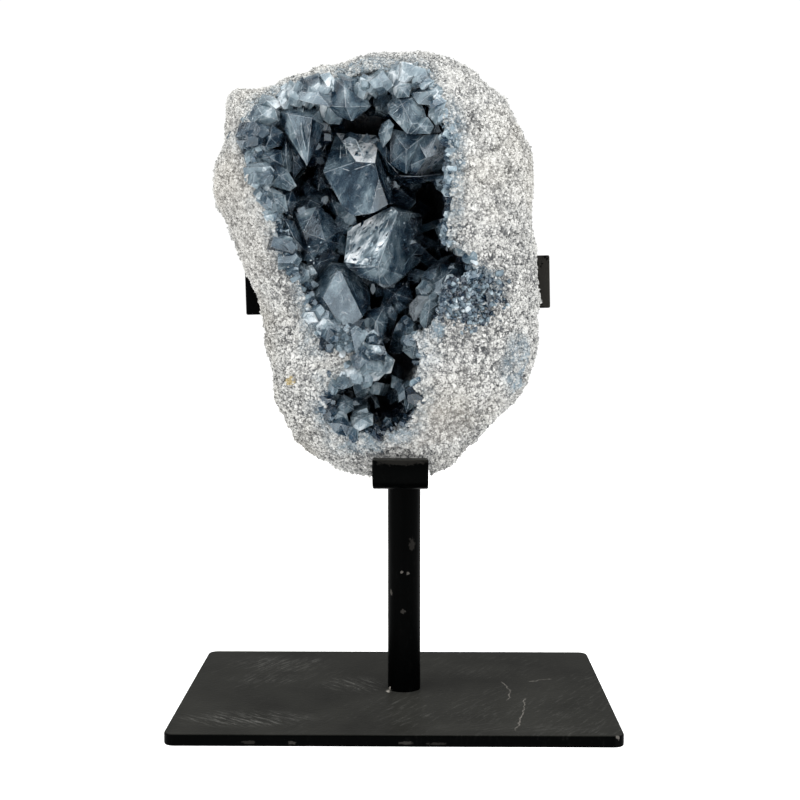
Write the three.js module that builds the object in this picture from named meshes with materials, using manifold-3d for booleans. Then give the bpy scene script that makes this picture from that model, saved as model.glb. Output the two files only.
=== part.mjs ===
import * as THREE from 'three';
import { mergeVertices } from 'three/addons/utils/BufferGeometryUtils.js';
import { ConvexGeometry } from 'three/addons/geometries/ConvexGeometry.js';
import Module from 'manifold-3d';

const wasm = await Module();
wasm.setup();

// Celestite geode section held upright in a black steel cradle on a post and a base plate.
// Millimetres, +Z up, +X to the right, -Y towards the open side of the geode.
// The origin is the centre of the plate's underside.

// Driving dimensions
const plate = { wide: 150, deep: 100, thick: 4, corner: 3.5, chamfer: 0.5 };
const post = { across: 11.8, x: 3, y: 1.5, sides: 28 };
const bar = { wide: 18.8, thick: 6 };
const hook = { x: 2, front: -31, underside: 80.6, lipTop: 91.2, spineTop: 168, bend: 3 };
const strap = { x: 0.5, across: 109.2, middle: 149.3, armFront: 8, back: 33, bend: 16, roll: 1.35 };
const stone = { x: -6, y: -6, z: 157, front: 31, back: 33, frontRound: 0.74, backRound: 0.86 };
const stoneFacets = [56, 20]; // around and from front to back
const lumps = { high: 1.6, wide: 17 };
const knobs = { high: 1.2, wide: 8.5 };
const drawnIn = 0.6; // keeps the lumps' middle level on the outline
const clearance = 0.3; // between the stone, the crust and the cradle
const crustThick = 2.6;
const layerSunk = 2.5; // how far the layer under the crystals ends below the stone's face
const rootGap = 0.8; // how far the crystals' roots stay inside the layer

// The stone's outline seen from the front, at its widest section: [x, z]
const stoneOutline = [
  [48.5, 157], [48.5, 188], [45, 200], [39, 211], [30, 219], [19, 226], [6, 228.4], [-6, 228],
  [-18, 225], [-41, 217], [-57, 215.8], [-59, 201], [-62, 188], [-61.5, 177], [-53, 157], [-47, 142],
  [-43.5, 124], [-42, 113], [-38, 101], [-31, 90.5], [-19, 84], [-4, 81.6], [9, 82], [20, 87],
  [38, 105], [45.5, 114], [49, 127],
];

// How the hollow's parts round off: their middle line to the floor, and their width
const hollowRound = { deep: 0.8, wide: 0.62 };

// The hollow is a wide bowl, a small pocket below it and a neck between the two.
// Each has its rim outline [x, z], the centre of that outline, and the place of its deepest point.
// Outlines run from +X towards +Z.
const bowl = {
  rim: [
    [31, 152], [18, 173], [25, 191], [21, 213], [12, 227], [-2, 227], [-19, 222], [-37, 217], [-50, 204],
    [-47, 188], [-39, 168], [-31, 151], [-20, 129], [-2, 129], [18, 136],
  ],
  centre: [-9, 177],
  deepest: [7, 16, 168],
  rimY: -33,
  mouthY: -62,
  facets: [18, 7],
};
const pocket = {
  rim: ellipse(-8, 110, 15, 10.5),
  centre: [-8, 110],
  deepest: [-4, -4, 112],
  rimY: -33,
  mouthY: -62,
  facets: [10, 5],
};
const neck = {
  rim: ellipse(0, 125, 8, 12),
  centre: [0, 125],
  deepest: [1, -8, 125],
  rimY: -33,
  mouthY: -62,
  facets: [8, 5],
};

// The largest crystals are broken or grown into their neighbours, so they are given
// by their corners: [x, y, z]
const largeCrystals = {
  upper: [
    [-19, -15, 200], [-8, -14, 199], [-6, -18, 191], [-24, -21, 188], [-16, -28, 173], [-6, -25, 172],
    [-1, -20, 176], [2, -10, 178], [-14, -28, 186], [-8, -26, 188], [-18, 9, 201], [-4, 14, 192],
    [-9, 12, 177],
  ],
  middle: [
    [1, -24, 175], [9, -19, 172], [10, -20, 163], [9, -21, 156], [-1, -26, 149], [-5, -37, 156],
    [-12, -29, 153], [-16, -27, 158], [-16, -24, 167], [0, 16, 167], [-11, 14, 162],
  ],
  left: [
    [-34, -22, 174], [-26, -22, 175], [-21, -19, 174], [-17, -18, 167], [-20, -23, 164], [-30, -31, 166],
    [-23, -27, 163], [-26, -24, 159], [-33, -21, 161], [-37, -17, 169], [-32, 4, 170], [-24, 6, 166],
  ],
  lower: [
    [-19, -22, 157], [-26, -22, 151], [-28, -20, 148], [-26, -24, 144], [-23, -30, 143], [-18, -29, 153],
    [-15, -30, 150], [-11, -30, 140], [-14, -32, 137], [-18, -31, 133], [-21, -32, 136], [-9, -22, 141],
    [-9, -19, 149], [-13, -21, 153], [-26, -3, 139], [-12, -3, 142],
  ],
  fan: [
    [-40, -24, 206], [-30, -36, 207], [-22, -33, 205], [-20, -26, 203], [-25, -30, 193], [-28, -31, 188],
    [-34, -29, 194], [-38, -30, 201], [-29, -37, 197], [-37, -12, 212], [-24, -12, 212],
  ],
  slab: [
    [-33, -30, 209], [-31, -26, 216], [-24, -26, 218], [-21, -38, 207], [-24, -36, 206], [-16, -27, 218],
    [-17, -36, 213], [-29, -8, 219], [-20, -8, 214],
  ],
  pyramid: [
    [-21, -38, 207], [-17, -36, 213], [-16, -28, 218], [-12, -29, 215], [-7, -31, 208], [-10, -33, 206],
    [-14, -31, 202], [-20, -33, 203], [-15, -8, 219], [-10, -8, 210],
  ],
};

// Whole crystals of the usual habit, a rhombic prism with a roof-shaped end.
// tip: the end's place; heading: its angle in the front view and how far it leans out, in degrees
const smallCrystals = [
  { tip: [-9, -30, 129], heading: [-83, 25], turn: 0, half: [3.4, 3.2], long: 16 },
  { tip: [-6, -29, 130], heading: [-92, 25], turn: 30, half: [3.8, 3.6], long: 16 },
  { tip: [11, -31, 135], heading: [-97, 45], turn: 20, half: [5.5, 5], long: 16 },
  { tip: [-44, -28, 212], heading: [105, 30], turn: 10, half: [7, 6.5], long: 16 },
  { tip: [-47, -27, 203], heading: [140, 45], turn: 40, half: [6, 5.5], long: 15 },
  { tip: [5, -31, 198], heading: [-80, 35], turn: 0, half: [8.5, 8], long: 22 },
  { tip: [15, -30, 204], heading: [-60, 50], turn: 20, half: [7.5, 7], long: 20 },
  { tip: [8, -20, 221], heading: [75, 45], turn: 10, half: [9, 8], long: 18 },
  { tip: [-3, -28, 213], heading: [-60, 55], turn: 30, half: [7, 6], long: 20 },
  { tip: [-1, -22, 220], heading: [100, 55], turn: 50, half: [6, 6], long: 14 },
  { tip: [9, -24, 185], heading: [-75, 25], turn: 0, half: [12, 9], long: 24 },
  { tip: [-3, -19, 190], heading: [-70, 30], turn: 20, half: [7, 6], long: 24 },
  { tip: [-2, -33, 122], heading: [-20, 40], turn: 20, half: [6, 5.5], long: 17 },
  { tip: [5, -33, 128], heading: [200, 45], turn: 20, half: [5.5, 5], long: 15 },
  { tip: [-17, -33, 110], heading: [-60, 60], turn: 20, half: [5, 4.6], long: 14 },
  { tip: [-14, -33, 106], heading: [70, 55], turn: 20, half: [6, 5], long: 12 },
  { tip: [-40, -29, 193], heading: [-30, 40], turn: 30, half: [6.5, 6], long: 18 },
  { tip: [-35, -28, 179], heading: [-25, 35], turn: 10, half: [6.5, 6], long: 18 },
  { tip: [20, -28, 160], heading: [160, 40], turn: 60, half: [5, 4.5], long: 14 },
  { tip: [18, -28, 180], heading: [190, 40], turn: 35, half: [5, 4.5], long: 14 },
  { tip: [19, -26, 146], heading: [120, 50], turn: 15, half: [6, 5], long: 14 },
];
// Crystals between them, sized by chance; highest: how near they come to the rim, from 0 to 1
const fill = { bowl: 34, pocket: 8, neck: 2, highest: 0.84, half: [3.6, 7.2], long: [8, 16] };

// Finishes
const limestone = new THREE.MeshStandardMaterial({ color: 0xc9c9c4, roughness: 0.9, metalness: 0 });
const celestite = new THREE.MeshStandardMaterial({ color: 0x5f7186, roughness: 0.2, metalness: 0 });
const blackPaint = new THREE.MeshStandardMaterial({ color: 0x15161a, roughness: 0.45, metalness: 0.2 });
limestone.flatShading = true;
celestite.flatShading = true;

const degrees = Math.PI / 180;
const goldenAngle = 137.508;

function ellipse(x, z, halfWide, halfHigh) {
  const curve = new THREE.EllipseCurve(x, z, halfWide, halfHigh);
  return curve.getPoints(12).slice(0, -1).map((point) => [point.x, point.y]);
}

// A repeatable number from 0 to 1 for each whole number
function chance(index) {
  const value = Math.sin(index * 12.9898 + 4.1) * 43758.5453;
  return value - Math.floor(value);
}

function between(least, most, share) {
  return least + (most - least) * share;
}

// Smooth noise from -1 to 1: the corner values of a unit lattice, blended
function noise(x, y, z) {
  const cell = [Math.floor(x), Math.floor(y), Math.floor(z)];
  const part = [x - cell[0], y - cell[1], z - cell[2]].map((t) => t * t * (3 - 2 * t));
  let sum = 0;
  for (let corner = 0; corner < 8; corner += 1) {
    const step = [corner & 1, (corner >> 1) & 1, (corner >> 2) & 1];
    const weight = step.reduce((total, s, axis) => total * (s ? part[axis] : 1 - part[axis]), 1);
    const place = cell.map((c, axis) => c + step[axis]);
    sum += weight * chance(place[0] * 7.13 + place[1] * 31.7 + place[2] * 91.3);
  }
  return 2 * sum - 1;
}

// A closed three.js geometry as a solid that can be joined and cut
function solidOf(geometry) {
  geometry.deleteAttribute('normal');
  geometry.deleteAttribute('uv');
  const merged = mergeVertices(geometry, 1e-4);
  const vertProperties = new Float32Array(merged.attributes.position.array);
  const triVerts = new Uint32Array(merged.index.array);
  return new wasm.Manifold(new wasm.Mesh({ numProp: 3, vertProperties, triVerts }));
}

// The largest connected piece of a solid, without crumbs or closed pores
function mainPiece(solid) {
  const pieces = solid.decompose();
  return pieces.reduce((best, piece) => (piece.volume() > best.volume() ? piece : best));
}

function meshOf(name, solid, material) {
  const result = solid.getMesh();
  const geometry = new THREE.BufferGeometry();
  geometry.setAttribute('position', new THREE.BufferAttribute(new Float32Array(result.vertProperties), 3));
  geometry.setIndex(new THREE.BufferAttribute(new Uint32Array(result.triVerts), 1));
  geometry.computeVertexNormals();
  const mesh = new THREE.Mesh(geometry, material);
  mesh.name = name;
  return mesh;
}

// A closed curve through outline points, as evenly spaced points [x, z]
function spaced(outline, count) {
  const curve = new THREE.CatmullRomCurve3(outline.map(([x, z]) => new THREE.Vector3(x, 0, z)), true);
  return curve.getSpacedPoints(count).slice(0, count);
}

// A sphere's grid bent to a new form: place(column, angle from the -Y pole) gives each vertex
function bentSphere(around, rows, place) {
  const geometry = new THREE.SphereGeometry(1, around, rows);
  const position = geometry.attributes.position;
  const point = new THREE.Vector3();
  for (let i = 0; i < position.count; i += 1) {
    point.fromBufferAttribute(position, i);
    const turn = (Math.atan2(point.z, point.x) / (2 * Math.PI) + 1) % 1;
    const column = Math.round(turn * around) % around;
    const angle = Math.acos(THREE.MathUtils.clamp(-point.y, -1, 1));
    point.copy(place(column, angle));
    position.setXYZ(i, point.x, point.y, point.z);
  }
  return solidOf(geometry);
}

// The stone before it is cut: the outline shrinks towards the front and back as a superellipse,
// with lumps and ledges standing out along the way from its middle
function stoneBody(grow) {
  const rim = spaced(stoneOutline, stoneFacets[0]);
  const middle = new THREE.Vector3(stone.x, stone.y, stone.z);
  return bentSphere(...stoneFacets, (column, angle) => {
    const inFront = angle < Math.PI / 2;
    const round = inFront ? stone.frontRound : stone.backRound;
    const share = Math.max(0, Math.sin(angle)) ** round;
    const depth = Math.abs(Math.cos(angle)) ** round * (inFront ? -stone.front : stone.back);
    const out = new THREE.Vector3(rim[column].x - stone.x, 0, rim[column].z - stone.z).multiplyScalar(share);
    out.y = depth;
    const place = out.clone().add(middle);
    const relief = [lumps, knobs].reduce((sum, { high, wide }) => (
      sum + high * noise(place.x / wide, place.y / wide, place.z / wide)
    ), -drawnIn);
    return place.addScaledVector(out.normalize(), relief + grow);
  });
}

// One part of the hollow, from in front of the stone to its deepest point, drawn in by an inset
function hollowPart(part, inset) {
  const rim = spaced(part.rim, part.facets[0]);
  const [x, z] = part.centre;
  const [deepX, deepY, deepZ] = part.deepest;
  return bentSphere(...part.facets, (column, angle) => {
    const deep = Math.max(0, -Math.cos(angle)) ** hollowRound.deep;
    const inside = angle > Math.PI / 2;
    const share = inside ? Math.sin(angle) ** hollowRound.wide : Math.min(1, Math.sin(angle) * 3);
    const out = new THREE.Vector3(rim[column].x - x, 0, rim[column].z - z);
    out.setLength(Math.max(0.5, out.length() - inset)).multiplyScalar(share);
    const ahead = Math.max(0, Math.cos(angle));
    const y = part.rimY + (deepY - inset - part.rimY) * deep + (part.mouthY - part.rimY) * ahead;
    return new THREE.Vector3(x + (deepX - x) * deep + out.x, y, z + (deepZ - z) * deep + out.z);
  });
}

function hollow(inset) {
  return hollowPart(bowl, inset).add(hollowPart(pocket, inset)).add(hollowPart(neck, inset));
}

// The corners where three of the planes meet and no other plane cuts them off
function cornersOf(planes) {
  const corners = [];
  const spot = new THREE.Vector3();
  const matrix = new THREE.Matrix3();
  for (let i = 0; i < planes.length; i += 1) {
    for (let j = i + 1; j < planes.length; j += 1) {
      for (let k = j + 1; k < planes.length; k += 1) {
        const rows = [planes[i], planes[j], planes[k]];
        matrix.set(...rows.flatMap(({ normal }) => normal.toArray()));
        if (Math.abs(matrix.determinant()) > 1e-6) {
          spot.set(-rows[0].constant, -rows[1].constant, -rows[2].constant);
          spot.applyMatrix3(matrix.clone().invert());
          const inside = planes.every((plane) => plane.distanceToPoint(spot) < 1e-6);
          const known = corners.some((corner) => corner.distanceTo(spot) < 1e-4);
          if (inside && !known) corners.push(spot.clone());
        }
      }
    }
  }
  return corners;
}

// A celestite crystal along +Z from the origin: a rhombic prism with a roof-shaped end.
// Each face moves in or out a little, as on grown crystals.
function crystalCorners([halfA, halfB], long, edgesCut, seed) {
  const planes = [];
  const face = (x, y, z, distance) => {
    const normal = new THREE.Vector3(x, y, z);
    const length = normal.length();
    planes.push(new THREE.Plane(normal.divideScalar(length), -distance / length));
  };
  const vary = (share) => 1 + share * (2 * chance(seed * 17 + planes.length) - 1);
  const roofA = between(0.5, 1.1, chance(seed + 0.3));
  const roofB = between(0.6, 1.2, chance(seed + 0.6));
  for (const side of [1, -1]) {
    face(side / halfA, 1 / halfB, 0, vary(0.1));
    face(side / halfA, -1 / halfB, 0, vary(0.1));
    if (edgesCut) face(0, side, 0, 0.68 * halfB * vary(0.12));
    face(side * roofA, 0, 1, long * vary(0.03));
    face(0, side * roofB, 1, long * vary(0.03) + 0.25 * halfB);
  }
  face(0, 0, -1, 0);
  return cornersOf(planes);
}

function crystalAt(root, direction, turn, half, long, edgesCut, seed) {
  const up = Math.abs(direction.z) < 0.95 ? new THREE.Vector3(0, 0, 1) : new THREE.Vector3(1, 0, 0);
  const across = up.cross(direction).normalize();
  const basis = new THREE.Matrix4().makeBasis(across, direction.clone().cross(across), direction);
  basis.multiply(new THREE.Matrix4().makeRotationZ(turn * degrees));
  basis.setPosition(root);
  const corners = crystalCorners(half, long, edgesCut, seed);
  return solidOf(new ConvexGeometry(corners.map((corner) => corner.applyMatrix4(basis))));
}

function headingVector([inView, out]) {
  const flat = Math.cos(out * degrees);
  return new THREE.Vector3(
    flat * Math.cos(inView * degrees),
    -Math.sin(out * degrees),
    flat * Math.sin(inView * degrees),
  );
}

function namedCrystals() {
  const solids = Object.values(largeCrystals).map((corners) => (
    solidOf(new ConvexGeometry(corners.map((corner) => new THREE.Vector3(...corner))))
  ));
  smallCrystals.forEach(({ tip, heading, turn, half, long }, index) => {
    const direction = headingVector(heading);
    const root = new THREE.Vector3(...tip).addScaledVector(direction, -long);
    solids.push(crystalAt(root, direction, turn, half, long, true, index + 1));
  });
  return solids;
}

// Crystals on the wall of one part of the hollow, spread by the golden angle and leaning to its mouth.
// Height runs from the floor, 0, to the rim, 1.
function wallCrystals(part, count, firstSeed) {
  const rim = spaced(part.rim, 360);
  const [x, z] = part.centre;
  const [deepX, deepY, deepZ] = part.deepest;
  const solids = [];
  for (let index = 0; index < count; index += 1) {
    const seed = firstSeed + index;
    const height = fill.highest * (index + 0.5) / count;
    const deep = (1 - height) ** hollowRound.deep;
    const share = Math.sqrt(1 - (1 - height) ** 2) ** hollowRound.wide;
    const column = Math.floor(index * goldenAngle) % 360;
    const centre = new THREE.Vector3(x + (deepX - x) * deep, 0, z + (deepZ - z) * deep);
    centre.y = part.rimY + (deepY - part.rimY) * deep;
    const out = new THREE.Vector3(rim[column].x - x, 0, rim[column].z - z).multiplyScalar(share);
    const root = centre.clone().add(out);
    const direction = out.clone().normalize().multiplyScalar(-height);
    direction.y = -between(0.45, 1.1, chance(seed + 0.1));
    direction.x += between(-0.35, 0.35, chance(seed + 0.2));
    direction.z += between(-0.35, 0.35, chance(seed + 0.4));
    direction.normalize();
    const halfA = between(...fill.half, chance(seed + 0.5));
    const half = [halfA, halfA * between(0.7, 0.95, chance(seed + 0.7))];
    const long = between(...fill.long, chance(seed + 0.8));
    solids.push(crystalAt(root, direction, 180 * chance(seed), half, long, false, seed));
  }
  return solids;
}

// Base plate: a rectangle with small round corners and lightly broken edges
function buildPlate() {
  const { wide, deep, thick, corner, chamfer } = plate;
  const [right, back] = [wide / 2 - corner, deep / 2 - corner];
  const outline = new THREE.Shape();
  outline.absarc(right, back, corner, 0, 90 * degrees);
  outline.absarc(-right, back, corner, 90 * degrees, 180 * degrees);
  outline.absarc(-right, -back, corner, 180 * degrees, 270 * degrees);
  outline.absarc(right, -back, corner, 270 * degrees, 360 * degrees);
  const geometry = new THREE.ExtrudeGeometry(outline, {
    depth: thick - 2 * chamfer,
    curveSegments: 4,
    bevelSize: chamfer,
    bevelThickness: chamfer,
    bevelOffset: -chamfer,
    bevelSegments: 1,
  });
  geometry.translate(0, 0, chamfer);
  return meshOf('base_plate', solidOf(geometry), blackPaint);
}

function buildPost() {
  const long = hook.underside - plate.thick;
  const geometry = new THREE.CylinderGeometry(post.across / 2, post.across / 2, long, post.sides);
  geometry.rotateX(90 * degrees);
  geometry.translate(post.x, post.y, plate.thick + long / 2);
  return meshOf('post', solidOf(geometry), blackPaint);
}

// Bottom hook: one flat bar bent to a lip in front, a sole on the post and a spine up the back
function hookSolid(grow) {
  const { front, underside, lipTop, spineTop, bend } = hook;
  const back = strap.back + bar.thick;
  const seat = underside + bar.thick;
  const profile = new THREE.Shape();
  profile.moveTo(front, lipTop);
  profile.absarc(front + bend, underside + bend, bend, 180 * degrees, 270 * degrees);
  profile.absarc(back - bend, underside + bend, bend, 270 * degrees, 360 * degrees);
  profile.lineTo(back, spineTop);
  profile.lineTo(strap.back, spineTop);
  profile.lineTo(strap.back, seat);
  profile.lineTo(front + bar.thick, seat);
  profile.lineTo(front + bar.thick, lipTop);
  const geometry = new THREE.ExtrudeGeometry(profile, {
    depth: bar.wide,
    curveSegments: 5,
    bevelEnabled: grow > 0,
    bevelSize: grow,
    bevelThickness: grow,
    bevelSegments: 1,
  });
  // the profile's x is the object's Y, its y is Z and its depth is X
  geometry.applyMatrix4(new THREE.Matrix4().set(0, 0, 1, 0, 1, 0, 0, 0, 0, 1, 0, 0, 0, 0, 0, 1));
  geometry.translate(hook.x - bar.wide / 2, 0, 0);
  return solidOf(geometry);
}

// Side strap: a flat bar bent to a U behind the stone, its arms coming forward on both sides
function strapSolid(grow) {
  const { across, armFront, back, bend, middle, roll } = strap;
  const half = across / 2;
  const innerBend = bend - bar.thick;
  const inner = half - bar.thick;
  const plan = new THREE.Shape();
  plan.moveTo(half, armFront);
  plan.absarc(half - bend, back - bend, bend, 0, 90 * degrees);
  plan.absarc(-half + bend, back - bend, bend, 90 * degrees, 180 * degrees);
  plan.lineTo(-half, armFront);
  plan.lineTo(-inner, armFront);
  plan.absarc(-half + bend, back - bend, innerBend, 180 * degrees, 90 * degrees, true);
  plan.absarc(half - bend, back - bend, innerBend, 90 * degrees, 0, true);
  plan.lineTo(inner, armFront);
  const geometry = new THREE.ExtrudeGeometry(plan, {
    depth: bar.wide,
    curveSegments: 6,
    bevelEnabled: grow > 0,
    bevelSize: grow,
    bevelThickness: grow,
    bevelSegments: 1,
  });
  geometry.translate(0, 0, -bar.wide / 2);
  geometry.rotateY(-roll * degrees);
  geometry.translate(strap.x, 0, middle);
  return solidOf(geometry);
}

// The rock around the hollow, with a gap to the cradle that holds it
function buildMatrix() {
  const cradle = hookSolid(clearance).add(strapSolid(clearance));
  const rock = stoneBody(0).subtract(hollow(0)).subtract(cradle);
  return meshOf('geode_matrix', mainPiece(rock), limestone);
}

// The crystals of the hollow and the layer that they grew from, joined in one crust.
// The crystals' roots end inside the layer, and nothing of them runs into the rock.
function buildCrust() {
  const layer = hollow(clearance).subtract(hollow(clearance + crustThick)).intersect(stoneBody(-layerSunk));
  const crystals = [
    ...namedCrystals(),
    ...wallCrystals(bowl, fill.bowl, 100),
    ...wallCrystals(pocket, fill.pocket, 300),
    ...wallCrystals(neck, fill.neck, 400),
  ];
  const rock = stoneBody(clearance).subtract(hollow(clearance + rootGap));
  const grown = crystals.reduce((sum, crystal) => sum.add(crystal)).subtract(rock);
  return meshOf('crystal_crust', mainPiece(layer.add(grown)), celestite);
}

const cluster = new THREE.Group();
cluster.add(buildPlate());
cluster.add(buildPost());
cluster.add(meshOf('bottom_hook', hookSolid(0), blackPaint));
cluster.add(meshOf('side_strap', strapSolid(0), blackPaint));
cluster.add(buildMatrix());
cluster.add(buildCrust());

export default cluster;
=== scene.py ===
from itertools import combinations
from math import pi, radians

import bpy
import numpy as np
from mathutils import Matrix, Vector
from mathutils.bvhtree import BVHTree


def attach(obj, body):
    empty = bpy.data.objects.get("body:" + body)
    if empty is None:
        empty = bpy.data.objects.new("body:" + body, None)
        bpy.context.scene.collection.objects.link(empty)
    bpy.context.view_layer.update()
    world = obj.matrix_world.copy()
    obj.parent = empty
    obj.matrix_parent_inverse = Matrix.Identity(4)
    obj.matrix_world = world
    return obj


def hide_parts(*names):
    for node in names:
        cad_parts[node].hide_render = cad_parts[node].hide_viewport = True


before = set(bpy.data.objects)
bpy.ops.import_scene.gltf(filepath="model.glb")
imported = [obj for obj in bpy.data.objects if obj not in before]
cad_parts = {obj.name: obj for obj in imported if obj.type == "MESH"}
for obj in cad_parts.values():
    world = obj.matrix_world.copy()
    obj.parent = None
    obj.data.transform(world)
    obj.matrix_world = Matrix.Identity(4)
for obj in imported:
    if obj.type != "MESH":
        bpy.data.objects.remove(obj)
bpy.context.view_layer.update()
scene = bpy.context.scene
millimetre = 0.001  # every shape below is worked out in millimetres
tiny = 1e-9  # stands in for a length of nothing in a division
print("frame loaded:", ", ".join(sorted(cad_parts)))


# The camera stands where the photograph was taken from
view = {
    "place": (0.00716, -0.46664, 0.14689),
    "down": 4.683,  # degrees
    "left": 0.690,
    "lens": 59.4,  # mm
    "sensor": 36,
    "pixels": 800,  # the photograph is this wide and high
    "nearest": 0.01,
}
camera = bpy.data.objects.new("camera", bpy.data.cameras.new("camera"))
camera.location = view["place"]
camera.rotation_euler = (radians(90 - view["down"]), 0, radians(view["left"]))
camera.data.lens = view["lens"]
camera.data.sensor_width = view["sensor"]
camera.data.clip_start = view["nearest"]
scene.collection.objects.link(camera)
scene.camera = camera


# photoRays: the lines of sight through pixels of the photograph. A pixel's step is the sensor over the lens
# and the number of pixels, and the camera's angles turn the line from the view's axes to the object's
def photoRays(pixels):
    pixels = np.asarray(pixels, float).reshape(-1, 2)
    step = view["sensor"] / view["lens"] / view["pixels"]
    middle = view["pixels"] / 2
    across, up = (pixels[:, 0] - middle) * step, (middle - pixels[:, 1]) * step
    turn = np.array(camera.rotation_euler.to_matrix())
    return np.stack([across, up, -np.ones(len(pixels))], axis=1) @ turn.T


# atDepth: the places (mm) where the lines of sight reach a depth y, place + ray (y - place y) / ray y,
# rounded to 0.1 mm
def atDepth(corners):
    corners = np.array(corners, float).reshape(-1, 3)
    rays = photoRays(corners[:, :2])
    start = np.array(view["place"]) / millimetre
    return np.round(start + rays * ((corners[:, 2] - start[1]) / rays[:, 1])[:, None], 1)


# How the repeatable noises are mixed: pace, start and multiple of a sine, what a cell's x, y and z count for,
# and the shifts that give a grain's centre and its own value
mixing = {
    "pace": 12.9898,
    "start": 4.1,
    "multiple": 43758.5453,
    "cell": np.array([7.13, 31.7, 91.3]),
    "centre": (0.17, 0.43, 0.71),
    "mark": 0.9,
}


# chance: the fraction that is left of a large multiple of a sine, a repeatable 0 to 1 for each number
def chance(index):
    value = np.sin(np.asarray(index, float) * mixing["pace"] + mixing["start"]) * mixing["multiple"]
    return value - np.floor(value)


# smoothNoise: the chance values at the corners of a unit cell, blended by 3t^2 - 2t^3; from -1 to 1
def smoothNoise(points, wide):
    spot = points / wide
    cell = np.floor(spot)
    part = spot - cell
    part = part * part * (3 - 2 * part)
    total = np.zeros(len(points))
    for corner in range(8):
        step = np.array([corner & 1, corner >> 1 & 1, corner >> 2 & 1])
        weight = np.prod(np.where(step == 1, part, 1 - part), axis=1)
        total += weight * chance((cell + step) @ mixing["cell"])
    return 2 * total - 1


# grainCells: each cell holds one grain centre at a chance place; gives the distance to the nearest centre and
# that one's chance value
def grainCells(points, wide):
    spot = points / wide
    cell = np.floor(spot)
    nearest = np.full(len(points), 9.0)
    mark = np.zeros(len(points))
    for index in range(27):
        place = cell + np.array([index % 3, index // 3 % 3, index // 9]) - 1
        key = place @ mixing["cell"]
        centre = place + np.stack([chance(key + shift) for shift in mixing["centre"]], axis=1)
        away = np.linalg.norm(centre - spot, axis=1)
        closer = away < nearest
        mark = np.where(closer, chance(key + mixing["mark"]), mark)
        nearest = np.where(closer, away, nearest)
    return nearest, mark


# ramp: 0 before low, 1 past high and the smooth 3t^2 - 2t^3 between; it falls where high is the smaller one
def ramp(value, low, high):
    t = np.clip((value - low) / (high - low), 0, 1)
    return t * t * (3 - 2 * t)


# within: the share of the way from the first limit to the second
def within(limits, share):
    return limits[0] + (limits[1] - limits[0]) * share


# unit: rows of numbers, each divided by its length
def unit(rows):
    return rows / np.linalg.norm(rows, axis=1, keepdims=True)


# smoothLoop: a closed Catmull-Rom curve through the corners, as evenly spaced points
def smoothLoop(corners, count, steps=24):
    here = np.array(corners, float)[:, None, :]
    before, after, beyond = (np.roll(here, shift, axis=0) for shift in (1, -1, -2))
    t = np.linspace(0, 1, steps, endpoint=False)[None, :, None]
    curve = 0.5 * (2 * here + (after - before) * t + (2 * before - 5 * here + 4 * after - beyond) * t ** 2
                   + (3 * here - before - 3 * after + beyond) * t ** 3)
    closed = curve.reshape(-1, 2)
    closed = np.vstack([closed, closed[:1]])
    along = np.concatenate([[0], np.cumsum(np.linalg.norm(np.diff(closed, axis=0), axis=1))])
    places = np.linspace(0, along[-1], count, endpoint=False)
    return np.stack([np.interp(places, along, closed[:, k]) for k in (0, 1)], axis=1)


# closedGrid: triangles over rings of points one after another, with a pole point before and after them all
def closedGrid(rings, columns):
    row = np.arange(rings - 1)[:, None] * columns + 1
    here = np.arange(columns)[None, :]
    after = (here + 1) % columns
    a, b, c, d = row + here, row + after, row + columns + after, row + columns + here
    walls = np.concatenate([np.stack([a, b, c], -1).reshape(-1, 3), np.stack([a, c, d], -1).reshape(-1, 3)])
    end = (rings - 1) * columns + 1
    firstCap = np.stack([0 * here, after + 1, here + 1], -1).reshape(-1, 3)
    lastCap = np.stack([0 * here + rings * columns + 1, end + here, end + after], -1).reshape(-1, 3)
    return np.concatenate([firstCap, walls, lastCap])


# facingOut: turns all triangles round if the volume that they enclose comes out negative
def facingOut(points, faces):
    a, b, c = (points[faces[:, k]] for k in range(3))
    volume = np.einsum("ij,ij->i", a, np.cross(b, c)).sum()
    return faces if volume > 0 else faces[:, ::-1]


# pointNormals: the sum of the normals of the triangles round each point, made one long
def pointNormals(points, faces):
    a, b, c = (points[faces[:, k]] for k in range(3))
    flat = np.cross(b - a, c - a)
    total = np.stack([
        sum(np.bincount(faces[:, k], flat[:, axis], len(points)) for k in range(3)) for axis in range(3)
    ], axis=1)
    return total / np.maximum(np.linalg.norm(total, axis=1, keepdims=True), tiny)


# placePiece: an object for the mesh that rides on the root and stands for CAD nodes
def placePiece(name, mesh, nodes):
    piece = bpy.data.objects.new(name, mesh)
    scene.collection.objects.link(piece)
    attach(piece, "root")
    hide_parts(*nodes)
    print(name, "has", len(mesh.polygons), "faces")
    return piece


# addValues: one number for each point or face of a mesh, under the names that the materials read
def addValues(mesh, domain, values):
    for label, numbers in values.items():
        numbers = np.asarray(numbers, np.float32)
        mesh.attributes.new(label, "FLOAT", domain).data.foreach_set("value", numbers)


# makePiece: a mesh from arrays, put in by foreach_set
def makePiece(name, points, faces, material, nodes, values=None, smooth=False):
    faces = np.ascontiguousarray(faces, dtype=np.int32)
    mesh = bpy.data.meshes.new(name)
    mesh.vertices.add(len(points))
    mesh.vertices.foreach_set("co", (np.asarray(points, float) * millimetre).ravel())
    mesh.loops.add(faces.size)
    mesh.loops.foreach_set("vertex_index", faces.ravel())
    mesh.polygons.add(len(faces))
    mesh.polygons.foreach_set("loop_start", np.arange(len(faces), dtype=np.int32) * faces.shape[1])
    mesh.polygons.foreach_set("use_smooth", np.full(len(faces), smooth))
    mesh.update(calc_edges=True)
    addValues(mesh, "POINT", values or {})
    mesh.materials.append(material)
    return placePiece(name, mesh, nodes)


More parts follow.
